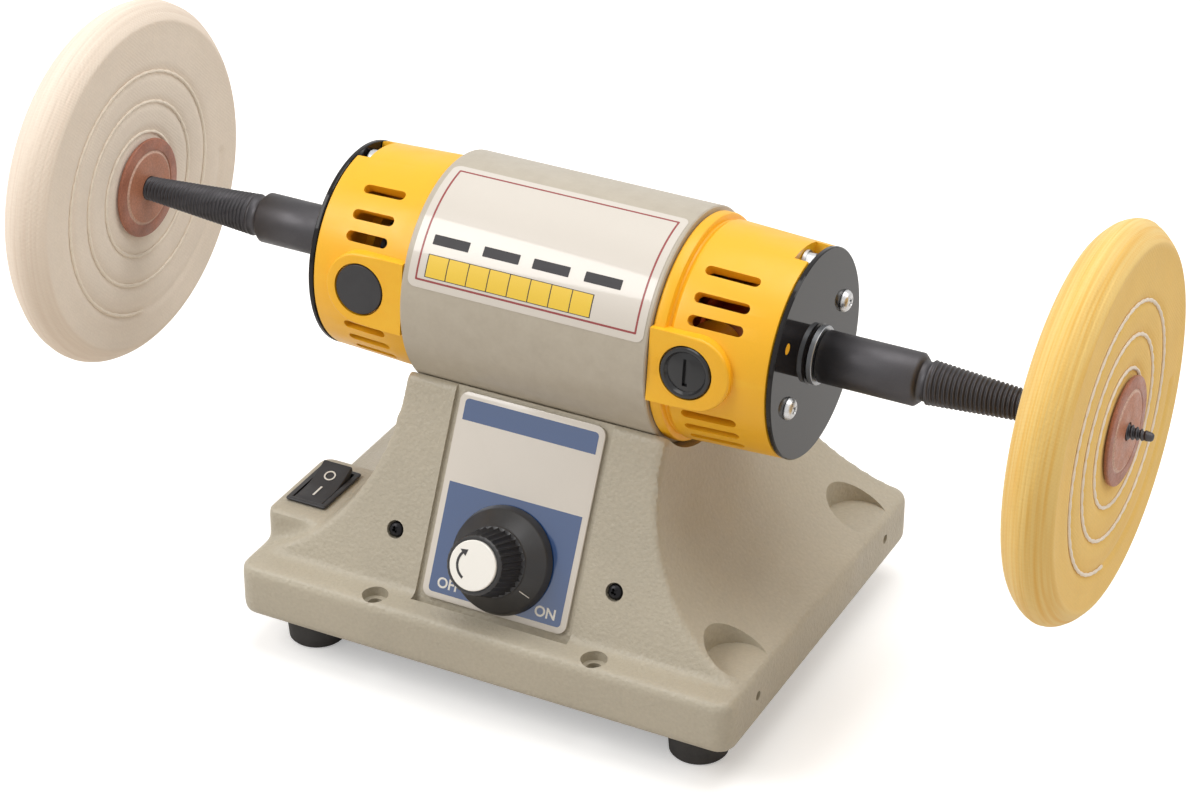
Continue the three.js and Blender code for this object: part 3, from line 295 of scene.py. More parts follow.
class Paintwork(Wiring):
    """The wiring of one material, with its shader and the place that its textures read."""

    def __init__(self, material: bpy.types.Material) -> None:
        """Opens a new material's nodes.

        Args:
            material: the material.
        """
        material.use_nodes = True
        super().__init__(material.node_tree)
        self.shader = self.tree.nodes["Principled BSDF"]
        self.place = self.add("ShaderNodeTexCoord").outputs["Object"]

    def effect(self, effect: Effect, **inputs: object) -> bpy.types.NodeOutputs:
        """Places a shared group with its own values and returns its outputs."""
        return self.add("ShaderNodeGroup", {"Vector": self.place, **inputs}, node_tree=effect.group()).outputs

    def uneven(self, colour: Colour, patch: float, speckle: float, amount: float) -> Socket:
        """Breaks up a colour and returns the result."""
        inputs = {"Colour": (*colour, 1.0), "Patch": patch, "Speckle": speckle, "Amount": amount}
        return self.effect(Effect.UNEVEN, **inputs)[0]

    def length(self, vector: Socket) -> Socket:
        """Measures a vector and returns its length."""
        return self.add("ShaderNodeVectorMath", {0: vector}, operation="LENGTH").outputs["Value"]

    def off_shaft(self) -> Socket:
        """Measures how far the place is from the motor's axis.

        Returns:
            The distance in metres.
        """
        parts = self.add("ShaderNodeSeparateXYZ", {0: self.place}).outputs
        height = self.math("SUBTRACT", parts[2], SHAFT_HEIGHT * MM)
        return self.length(self.add("ShaderNodeCombineXYZ", {1: parts[1], 2: height}).outputs[0])

    def stretched(self, scale: Point) -> Socket:
        """Scales the place along each axis and returns the result."""
        return self.add("ShaderNodeMapping", {"Vector": self.place, "Scale": scale}).outputs[0]

    def skin(self, colour: Socket, gloss: Socket, height: Socket, depth: float, strength: float) -> None:
        """Feeds the shader.

        Args:
            colour: its colour.
            gloss: its roughness.
            height: the height of its skin.
            depth: how far a height of 1 stands out, in millimetres.
            strength: how much of that shows.
        """
        bump = self.add("ShaderNodeBump", {"Height": height, "Distance": depth * MM, "Strength": strength})
        self.feed(self.shader, {"Base Color": colour, "Roughness": gloss, "Normal": bump.outputs[0]})


# ---- finishes


def tone(red: float, green: float, blue: float) -> Colour:
    """Turns a colour as seen on a screen, from 0 to 255, into the linear values that shaders use."""
    shares = (value / 255 for value in (red, green, blue))
    return tuple(s / 12.92 if s <= 0.04045 else ((s + 0.055) / 1.055) ** 2.4 for s in shares)


@dataclass(frozen=True)
class Finish:
    """What every finish has: a name, a colour and a gloss."""

    name: str
    colour: Colour
    roughness: float = 0.5

    def material(self) -> bpy.types.Material:
        """Finds the finish's material, or builds it the first time.

        Returns:
            The material.
        """
        made = bpy.data.materials.get(self.name)
        if not made:
            made = bpy.data.materials.new(self.name)
            made.diffuse_color = (*self.colour, 1.0)
            m = Paintwork(made)
            m.feed(m.shader, {"Base Color": (*self.colour, 1.0), "Roughness": self.roughness})
            self.paint(m)
        return made

    def paint(self, m: Paintwork) -> None:
        """Wires the finish's own nodes."""
        raise NotImplementedError

    def shaded(self, factor: float, lift: float = 0.0) -> Colour:
        """A darker or paler tone of the finish's colour."""
        return tuple(min(1.0, value * factor + lift) for value in self.colour)

    def gloss(self, m: Paintwork, value: Socket, below: float, above: float, *ends: float) -> Socket:
        """Spreads a texture's value about the finish's roughness and returns the result."""
        return m.spread(value, self.roughness - below, self.roughness + above, *ends)


@dataclass(frozen=True)
class Enamel(Finish):
    """Sprayed paint over metal, from coarse on the casting to fine on the housing."""

    grain: float = 700.0
    depth: float = 0.12
    strength: float = 0.5
    patchy: float = 0.12
    # pale colour on raised edges: partly wear, partly painted highlight
    wear: Colour = (0.7, 0.66, 0.56)

    def paint(self, m: Paintwork) -> None:
        """Wires tone, pale raised edges (partly wear, partly painted highlight), gloss and skin.

        Args:
            m: the material's wiring.
        """
        # raised edges are painted paler: partly wear, partly painted highlight on the crests
        pale_edges = m.math("MULTIPLY", m.effect(Effect.WEAR)["Mask"], 0.3)
        toned = m.blend(pale_edges, m.uneven(self.colour, 26.0, self.grain, self.patchy), self.wear)
        gloss = self.gloss(m, m.noise(m.place, 60.0), 0.07, 0.07)
        m.skin(toned, gloss, m.effect(Effect.PEEL, Scale=self.grain)[0], self.depth, self.strength)


@dataclass(frozen=True)
class Moulding(Finish):
    """Moulded plastic or rubber with a fine skin and a little dust."""

    grain: float = 2200.0
    strength: float = 0.12
    dust: float = 0.05
    shine: float = 0.5

    def paint(self, m: Paintwork) -> None:
        """Wires tone, paler raised edges, gloss and skin.

        Args:
            m: the material's wiring.
        """
        m.feed(m.shader, {"Specular IOR Level": self.shine})
        # raised edges are painted a paler tone of the colour
        pale_edges = m.math("MULTIPLY", m.effect(Effect.WEAR, Reach=0.55)["Mask"], 0.18)
        toned = m.blend(pale_edges, m.uneven(self.colour, 55.0, 1500.0, self.dust), self.shaded(1.3, 0.04))
        gloss = m.spread(m.noise(m.place, 130.0), 0.85 * self.roughness, 1.25 * self.roughness)
        m.skin(toned, gloss, m.effect(Effect.PEEL, Scale=self.grain)[0], 0.03, self.strength)


@dataclass(frozen=True)
class TurnedMetal(Finish):
    """Bare, plated or blacked metal with lathe or rolling marks."""

    lines: float = 1300.0
    metallic: float = 1.0
    strength: float = 0.2

    def paint(self, m: Paintwork) -> None:
        """Wires tone, marks and gloss.

        Args:
            m: the material's wiring.
        """
        m.feed(m.shader, {"Metallic": self.metallic})
        marks = m.effect(Effect.LATHE, Lines=self.lines)
        gloss = self.gloss(m, marks["Mask"], 0.06, 0.1, 0.0, 1.0)
        m.skin(m.uneven(self.colour, 90.0, 2600.0, 0.1), gloss, marks["Height"], 0.02, self.strength)


@dataclass(frozen=True)
class Cotton(Finish):
    """Stitched cotton cloth: woven, stained in rings by rubbed-in compound, with its plies' edges at the rim."""

    rim: Colour = (0.9, 0.8, 0.7)
    stain: Colour = (0.6, 0.5, 0.35)
    stained: float = 0.4
    threads: float = 5200.0
    rim_reach: Point = (0.0475, 0.0497)

    def paint(self, m: Paintwork) -> None:
        """Wires weave, stains, plies, nap and gloss.

        Args:
            m: the material's wiring.
        """
        m.feed(m.shader, {"Sheen Weight": 0.25, "Sheen Roughness": 0.6})
        weave = m.effect(Effect.WEAVE, Threads=self.threads)
        reach = m.off_shaft()
        rings = m.spread(m.noise(m.add("ShaderNodeCombineXYZ", {0: reach}).outputs[0], 320.0), 0.0, 1.0)
        cloudy = m.spread(m.noise(m.place, 30.0), 0.1, 1.0)
        share = m.math("MULTIPLY", m.math("MULTIPLY", rings, cloudy), self.stained)
        face = m.blend(share, m.uneven(self.colour, 38.0, 1400.0, 0.09), self.stain)
        streaks = m.noise(m.stretched((14.0, 0.25, 0.25)), 90.0, 2.0)
        plies = m.blend(m.spread(streaks, 0.0, 0.75, 0.42, 0.68), self.rim, self.stain)
        toned = m.blend(m.spread(reach, 0.0, 1.0, *self.rim_reach), face, plies)
        shade = m.spread(weave["Height"], 0.0, 0.06, 0.0, 1.0)
        gloss = self.gloss(m, weave["Mask"], 0.08, 0.0, 0.0, 1.0)
        nap = m.math("MULTIPLY_ADD", m.noise(m.place, 2600.0, 4.0), 0.8, weave["Height"])
        m.skin(m.blend(shade, toned, self.shaded(0.55)), gloss, nap, 0.12, 0.32)


@dataclass(frozen=True)
class Leather(Finish):
    """Cut leather with a fine pore pattern and a pale line where a washer's middle is pressed out: partly a
    crease, partly painted highlight along the step.
    """

    middle: Colour = (0.5, 0.25, 0.15)
    # colour of the pale line at the pressed step: partly a crease, partly painted highlight
    crease: Colour = (0.8, 0.6, 0.5)
    pressed: float = 0.0107

    def paint(self, m: Paintwork) -> None:
        """Wires tone, pores, the pale crease line (partly painted highlight) and gloss.

        Args:
            m: the material's wiring.
        """
        inputs = {"Vector": m.place, "Scale": 1100.0}
        pores = m.add("ShaderNodeTexVoronoi", inputs, feature="DISTANCE_TO_EDGE").outputs["Distance"]
        reach = m.off_shaft()
        inside = m.spread(reach, 1.0, 0.0, self.pressed - 0.0004, self.pressed + 0.0004)
        uneven = m.uneven(self.colour, 180.0, 1600.0, 0.3)
        toned = m.blend(m.math("MULTIPLY", inside, 0.8), uneven, self.middle)
        off = m.math("ABSOLUTE", m.math("SUBTRACT", reach, self.pressed))
        # the pale line at the pressed step: partly a crease, partly painted highlight
        crease_and_highlight = m.blend(m.spread(off, 0.75, 0.0, 0.0001, 0.0006), toned, self.crease)
        pored = m.blend(m.spread(pores, 0.35, 0.0, 0.0, 0.12), crease_and_highlight, self.shaded(0.45))
        m.skin(pored, self.gloss(m, m.noise(m.place, 300.0), 0.15, 0.1), pores, 0.1, 0.5)


@dataclass(frozen=True)
class Print(Finish):
    """Ink or foil on a smooth sheet, with faint rub marks."""

    coat: float = 0.3
    coat_ior: float = 1.5

    def paint(self, m: Paintwork) -> None:
        """Wires ink tone, rub marks and gloss.

        Args:
            m: the material's wiring.
        """
        m.feed(m.shader, {"Coat Weight": self.coat, "Coat Roughness": 0.07, "Coat IOR": self.coat_ior})
        gloss = self.gloss(m, m.noise(m.stretched((1.0, 6.0, 9.0)), 220.0, 5.0), 0.03, 0.04)
        m.skin(m.uneven(self.colour, 70.0, 3000.0, 0.02), gloss, m.noise(m.place, 90.0), 0.02, 0.06)


@dataclass(frozen=True)
class Wrapped(Finish):
    """Windings: many fine varnished wires side by side."""

    def paint(self, m: Paintwork) -> None:
        """Wires strands, tone and gloss.

        Args:
            m: the material's wiring.
        """
        m.feed(m.shader, {"Metallic": 0.9})
        inputs = {"Vector": m.place, "Scale": 420.0, "Distortion": 1.5, "Detail": 2.0}
        strands = m.add("ShaderNodeTexWave", inputs, bands_direction="Z").outputs["Fac"]
        toned = m.blend(strands, self.shaded(0.4), self.colour)
        m.skin(toned, m.spread(strands, 0.5, 0.3, 0.0, 1.0), strands, 0.2, 0.6)


def cotton(name: str, base: Point, rim: Point, stain: Point, roughness: float, stained: float) -> Cotton:
    """A cotton finish from its three colours as seen on a screen."""
    return Cotton(name, tone(*base), roughness, tone(*rim), tone(*stain), stained)


class Finishes:
    """The machine's own finishes."""

    CASTING = Enamel("cast base enamel", tone(184, 176, 158), 0.4, grain=1000.0, depth=0.34, strength=0.8)
    HOUSING = Enamel("motor housing enamel", tone(182, 173, 157), 0.36, 900.0, 0.06, 0.35, 0.05)
    YELLOW = Moulding("yellow moulded cap", tone(250, 187, 34), 0.36, dust=0.03)
    BLACK = Moulding("black moulding", tone(28, 28, 30), 0.2, dust=0.1)
    KNOB = Moulding("knob moulding", tone(42, 41, 42), 0.36, grain=1500.0, strength=0.05)
    BLACK_SATIN = Moulding("satin black moulding", tone(44, 43, 45), 0.5, 1500.0, 0.25, 0.1)
    PLATE = Moulding("gloss black plate", tone(26, 24, 25), 0.06, grain=1200.0, strength=0.01, shine=0.25)
    RUBBER = Moulding("foot rubber", tone(56, 54, 53), 0.66, 1100.0, 0.4, 0.16)
    CARBON = Moulding("pressed carbon", tone(48, 48, 50), 0.6, 1800.0, 0.5, 0.2)
    BLACK_STEEL = TurnedMetal("blacked spindle steel", tone(80, 78, 80), 0.46, 2400.0, 0.9, 0.14)
    SCREW_BLACK = TurnedMetal("blacked screw", tone(30, 29, 31), 0.3, metallic=0.75)
    ZINC = TurnedMetal("zinc plated steel", tone(205, 205, 205), 0.3, lines=2400.0)
    STEEL = TurnedMetal("plain steel", tone(160, 162, 165), 0.38, lines=900.0)
    BRASS_COPPER = TurnedMetal("commutator copper", tone(205, 130, 85), 0.3, lines=1500.0)
    COPPER = Wrapped("varnished copper wire", tone(196, 120, 70))
    LAMINATE = Print("board laminate", tone(45, 105, 60), 0.4)
    CREAM_COTTON = cotton("cream cotton", (248, 235, 219), (248, 233, 216), (240, 222, 204), 0.95, 0.4)
    YELLOW_COTTON = cotton(
        "yellow treated cotton", (248, 204, 98), (250, 213, 128), (242, 186, 72), 0.92, 0.5
    )
    THREAD = cotton("pale stitching", (251, 239, 222), (251, 239, 222), (243, 224, 198), 0.9, 0.3)
    LEATHER = Leather("tan leather", tone(172, 112, 90), 0.5, tone(196, 132, 102), tone(232, 200, 180))
    WHITE_PRINT = Print("white print", tone(232, 228, 220), 0.38)
    DISC_PRINT = Print("knob disc print", tone(249, 247, 241), 0.36)
    SILVER_PRINT = Print("silver white foil", tone(216, 209, 199), 0.34, coat=0.6, coat_ior=1.7)
    BLUE_PRINT = Print("blue print", tone(24, 66, 120), 0.34, coat=1.0, coat_ior=1.8)
    RED_PRINT = Print("dark red line", tone(150, 62, 62), 0.4)
    DARK_PRINT = Print("dark print", tone(48, 46, 48), 0.6, coat=0.0)
    YELLOW_PRINT = Print("yellow print", tone(238, 200, 60), 0.4)


# ---- modelling


def polar(radius: float, degrees: float) -> Point:
    """A place on a circle round the origin."""
    return radius * math.cos(math.radians(degrees)), radius * math.sin(math.radians(degrees))


def arc(centre: Point, radius: float, start: float, end: float, steps: int) -> list[Point]:
    """The points along an arc from one angle to another."""
    places = (polar(radius, start + (end - start) * step / steps) for step in range(steps + 1))
    return [(centre[0] + x, centre[1] + y) for x, y in places]


def rounded(width: float, height: float, radius: float, centre: Point = (0, 0), steps: int = 8) -> list[Point]:
    """The outline of a rectangle with round corners.

    Args:
        width: its width.
        height: its height.
        radius: its corners' radius.
        centre: its middle.
        steps: steps in each corner.

    Returns:
        The outline's points.
    """
    across, up = width / 2 - radius, height / 2 - radius
    corners = ((across, up), (-across, up), (-across, -up), (across, -up))
    return [
        point
        for turn, (x, y) in enumerate(corners)
        for point in arc((centre[0] + x, centre[1] + y), radius, 90 * turn, 90 * turn + 90, steps)
    ]


def dome(seat: float, height: float, radius: float, power: float, angles: Sequence[float]) -> list[Point]:
    """The points up the round side of a screw's head, which lies along X."""
    steps = [(math.sin(math.radians(a)), math.cos(math.radians(a))) for a in angles]
    return [(seat + height * up, radius * out**power) for up, out in steps]


class Piece:
    """One piece on the bench, shaped with Blender's own tools."""

    def __init__(self, obj: bpy.types.Object) -> None:
        """Takes the object that is worked on."""
        self.obj = obj

    # -- starts

    @staticmethod
    def clear() -> None:
        """Leaves edit mode and lets go of everything."""
        if bpy.context.mode != "OBJECT":
            bpy.ops.object.mode_set(mode="OBJECT")
        bpy.ops.object.select_all(action="DESELECT")

    @classmethod
    def take(cls, name: str) -> "Piece":
        """Takes up the object that was just added and gives it its name.

        Args:
            name: its name.

        Returns:
            The piece.
        """
        obj = bpy.context.object
        obj.name = obj.data.name = name
        return cls(obj)

    @classmethod
    def box(cls, name: str, size: Point, centre: Point = (0, 0, 0)) -> "Piece":
        """Starts from a cube.

        Args:
            name: the piece's name.
            size: its size along each axis.
            centre: its middle.

        Returns:
            The piece.
        """
        cls.clear()
        bpy.ops.mesh.primitive_cube_add(size=1, location=centre)
        piece = cls.take(name)
        with piece.edit():
            bpy.ops.transform.resize(value=size)
        return piece.settle()

    @classmethod
    def rod(
        cls,
        name: str,
        start: float,
        end: float,
        radius: float,
        axis: Axis = Axis.X,
        at: Point = (0, 0),
        sides: int = 64,
    ) -> "Piece":
        """Starts from a cylinder.

        Args:
            name: the piece's name.
            start: where it starts along its axis.
            end: where it ends along its axis.
            radius: its radius.
            axis: the axis that it lies along.
            at: its place in the other two directions, in their order.
            sides: its number of sides.

        Returns:
            The piece.
        """
        cls.clear()
        middle, (u, v) = (start + end) / 2, at
        place, turn = {
            Axis.X: ((middle, u, v), (0, math.pi / 2, 0)),
            Axis.Y: ((u, middle, v), (math.pi / 2, 0, 0)),
            Axis.Z: ((u, v, middle), (0, 0, 0)),
        }[axis]
        bpy.ops.mesh.primitive_cylinder_add(
            vertices=sides, radius=radius, depth=abs(end - start), location=place, rotation=turn
        )
        return cls.take(name).settle()

    @classmethod
    def line(cls, name: str, points: Outline) -> "Piece":
        """Draws a line by extruding one vertex from point to point.

        Args:
            name: the piece's name.
            points: the line's points in three directions.

        Returns:
            The piece.
        """
        cls.clear()
        bpy.ops.mesh.primitive_plane_add(size=1)
        piece = cls.take(name)
        places = [Vector(point) for point in points]
        with piece.edit("VERT"):
            bpy.ops.mesh.merge(type="CENTER")
            bpy.ops.transform.translate(value=places[0])
            for here, there in zip(places, places[1:]):
                bpy.ops.mesh.extrude_vertices_move(TRANSFORM_OT_translate={"value": there - here})
        return piece

    @classmethod
    def turned(cls, name: str, outline: Outline, steps: int = 96) -> "Piece":
        """Spins an outline round X.

        Args:
            name: the piece's name.
            outline: points as place along X and radius; an outline that stays off the axis closes on itself.
            steps: how many steps the spin has.

        Returns:
            The piece.
        """
        points = [(along, radius, 0.0) for along, radius in outline]
        if min(radius for _, radius in outline) > 0:
            points.append(points[0])
        piece = cls.line(name, points)
        with piece.edit("VERT"):
            bpy.ops.mesh.spin(steps=steps, angle=math.tau, center=(0, 0, 0), axis=Axis.X.value)
            piece.close_up()
        return piece

    @classmethod
    def drawn(cls, name: str, outline: Outline, start: float, end: float, axis: Axis = Axis.Z) -> "Piece":
        """Fills an outline and extrudes it.

        Args:
            name: the piece's name.
            outline: points in the other two directions, in their order.
            start: where the solid starts along the axis.
            end: where it ends.
            axis: the axis that it is extruded along.

        Returns:
            The piece.
        """
        slot = "XYZ".index(axis.name)
        piece = cls.line(name, [(*p[:slot], start, *p[slot:]) for p in (*outline, outline[0])])
        with piece.edit("VERT"):
            bpy.ops.mesh.remove_doubles(threshold=WELD)
            bpy.ops.mesh.edge_face_add()
            move = Vector(axis.value) * (end - start)
            bpy.ops.mesh.extrude_region_move(TRANSFORM_OT_translate={"value": move})
            piece.close_up()
        return piece

    @classmethod
    def words(cls, name: str, text: str, size: float, centre: Point, thickness: float) -> "Piece":
        """Makes generic lettering that lies flat and faces up.

        Args:
            name: the piece's name.
            text: the letters.
            size: the letters' size.
            centre: the middle of the line, with its underside.
            thickness: how thick the print is.

        Returns:
            The piece.
        """
        cls.clear()
        bpy.ops.object.text_add(location=(centre[0], centre[1], centre[2] + thickness / 2))
        letters = bpy.context.object.data
        letters.body, letters.size, letters.extrude = text, size, thickness / 2
        letters.align_x = letters.align_y = "CENTER"
        letters.offset, letters.resolution_u = 0.022 * size, 4
        bpy.ops.object.convert(target="MESH")
        piece = cls.take(name).settle()
        with piece.edit("VERT"):
            piece.close_up()
        return piece

    def copy(self, name: str) -> "Piece":
        """Copies the piece with its own mesh.

        Args:
            name: the copy's name.

        Returns:
            The copy.
        """
        twin = self.obj.copy()
        twin.data = self.obj.data.copy()
        twin.name = twin.data.name = name
        bpy.context.scene.collection.objects.link(twin)
        return Piece(twin)

    # -- shaping

    def hold(self) -> None:
        """Makes this the only selected piece."""
        self.clear()
        self.obj.select_set(True)
        bpy.context.view_layer.objects.active = self.obj

    @contextmanager
    def edit(self, kind: str = "FACE") -> Iterator[None]:
        """Opens the piece in edit mode with all of it selected.

        Args:
            kind: what is selected: VERT, EDGE or FACE.

        Yields:
            Nothing.
        """
        self.hold()
        bpy.ops.object.mode_set(mode="EDIT")
        bpy.ops.mesh.select_mode(type=kind)
        bpy.ops.mesh.select_all(action="SELECT")
        yield
        bpy.ops.object.mode_set(mode="OBJECT")

    def close_up(self) -> None:
        """Merges doubles and points the faces outwards, in edit mode."""
        bpy.ops.mesh.select_all(action="SELECT")
        bpy.ops.mesh.remove_doubles(threshold=WELD)
        bpy.ops.mesh.normals_make_consistent(inside=False)

    def settle(self) -> "Piece":
        """Moves the object's place into its mesh.

        Returns:
            The piece.
        """
        self.hold()
        bpy.ops.object.transform_apply(location=True, rotation=True, scale=True)
        return self

    def choose(self, kind: str, wanted: Callable[[object], bool]) -> None:
        """Selects the edges or faces that pass a test, in edit mode.

        Args:
            kind: EDGE or FACE.
            wanted: the test.
        """
        bpy.ops.mesh.select_mode(type=kind)
        bpy.ops.mesh.select_all(action="DESELECT")
        mesh = bmesh.from_edit_mesh(self.obj.data)
        for item in mesh.edges if kind == "EDGE" else mesh.faces:
            item.select_set(wanted(item))
        bmesh.update_edit_mesh(self.obj.data)

    def round_edges(self, wanted: Callable[[object], bool], width: float, segments: int) -> "Piece":
        """Bevels the edges that pass a test.

        Args:
            wanted: the test.
            width: the bevel's width.
            segments: its number of steps.

        Returns:
            The piece.
        """
        with self.edit("EDGE"):
            self.choose("EDGE", wanted)
            bpy.ops.mesh.bevel(offset=width, segments=segments, profile=0.5, clamp_overlap=True)
        return self

    def modify(self, kind: str, **settings: object) -> "Piece":
        """Adds a modifier and applies it.

        Args:
            kind: the modifier's type.
            **settings: its properties.

        Returns:
            The piece.
        """
        modifier = self.obj.modifiers.new(kind.lower(), kind)
        for name, value in settings.items():
            setattr(modifier, name, value)
        self.hold()
        bpy.ops.object.modifier_apply(modifier=modifier.name)
        return self

    def combine(self, operation: str, tools: Sequence["Piece"]) -> "Piece":
        """Joins, cuts or crosses this piece with others, which are used up.

        Args:
            operation: UNION, DIFFERENCE or INTERSECT.
            tools: the others.

        Returns:
            The piece.
        """
        for tool in tools:
            self.modify("BOOLEAN", object=tool.obj, operation=operation, solver="EXACT")
            tool.discard()
        return self

    def add(self, *tools: "Piece") -> "Piece":
        """Joins other pieces to this one."""
        return self.combine("UNION", tools)

    def cut(self, *tools: "Piece") -> "Piece":
        """Cuts this piece with others."""
        return self.combine("DIFFERENCE", tools)

    def gather(self, *others: "Piece") -> None:
        """Puts loose pieces in this one's object without joining their skins.

        Args:
            *others: the loose pieces.
        """
        self.clear()
        for piece in (*others, self):
            piece.obj.select_set(True)
        bpy.context.view_layer.objects.active = self.obj
        bpy.ops.object.join()

    def soften(self, width: float, segments: int = 3, angle: float = 35.0) -> "Piece":
        """Rounds every edge sharper than an angle."""
        limit = math.radians(angle)
        return self.modify("BEVEL", width=width, segments=segments, limit_method="ANGLE", angle_limit=limit)

    def move(self, offset: Point) -> "Piece":
        """Moves the piece and returns it."""
        with self.edit():
            bpy.ops.transform.translate(value=offset)
        return self

    def turn(self, degrees: float, axis: Axis = Axis.X) -> "Piece":
        """Turns the piece round an axis through the origin, by the right-hand rule."""
        return self.stand(Matrix.Rotation(math.radians(degrees), 4, Vector(axis.value)))

    def stand(self, frame: Matrix) -> "Piece":
        """Puts the piece in another frame and returns it."""
        self.obj.data.transform(frame)
        return self

    def slice(self, axis: Axis, start: float, end: float, step: float) -> "Piece":
        """Bisects the piece at even steps, so that it can bend.

        Args:
            axis: the direction that the steps go in.
            start: where they start.
            end: where they end.
            step: how far apart they are.

        Returns:
            The piece.
        """
        with self.edit():
            for cut in range(1, math.ceil((end - start) / step)):
                bpy.ops.mesh.select_all(action="SELECT")
                place = Vector(axis.value) * (start + cut * step)
                bpy.ops.mesh.bisect(plane_co=place, plane_no=axis.value)
        return self

    def mirror_x(self) -> None:
        """Turns the piece into its mirror image across X and keeps its faces outwards."""
        self.stand(Matrix.Diagonal((-1, 1, 1, 1)))
        self.obj.data.flip_normals()

    def reshape(self, place: Callable[[Vector], Vector]) -> "Piece":
        """Moves each vertex to the place that a rule gives, and returns the piece."""
        for vertex in self.obj.data.vertices:
            vertex.co = place(vertex.co.copy())
        return self

    def discard(self) -> None:
        """Throws the piece away."""
        bpy.data.objects.remove(self.obj, do_unlink=True)

    # -- finishing

    def fit(
        self,
        finish: Finish,
        slot: str,
        *nodes: str,
        frame: Matrix | None = None,
        body: Body = Body.HOUSING,
        crease: float = 32.0,
    ) -> bpy.types.Object:
        """Puts the finished piece in the machine.

        Args:
            finish: its finish.
            slot: the record's material slot; not used.
            *nodes: the CAD nodes that it replaces.
            frame: the frame that it was modelled in; None is the machine's own.
            body: the rigid body that it rides on.
            crease: edges sharper than this stay sharp.

        Returns:
            The piece's object.
        """
        scale = Matrix.Scale(MM, 4)
        self.stand(scale @ frame if frame else scale).hold()
        bpy.ops.object.shade_smooth_by_angle(angle=math.radians(crease))
        self.obj.data.materials.clear()
        self.obj.data.materials.append(finish.material())
        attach(self.obj, body.value)
        if nodes:
            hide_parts(*nodes)
        LOG.info("%s: %d faces", self.obj.name, len(self.obj.data.polygons))
        return self.obj


# ---- base


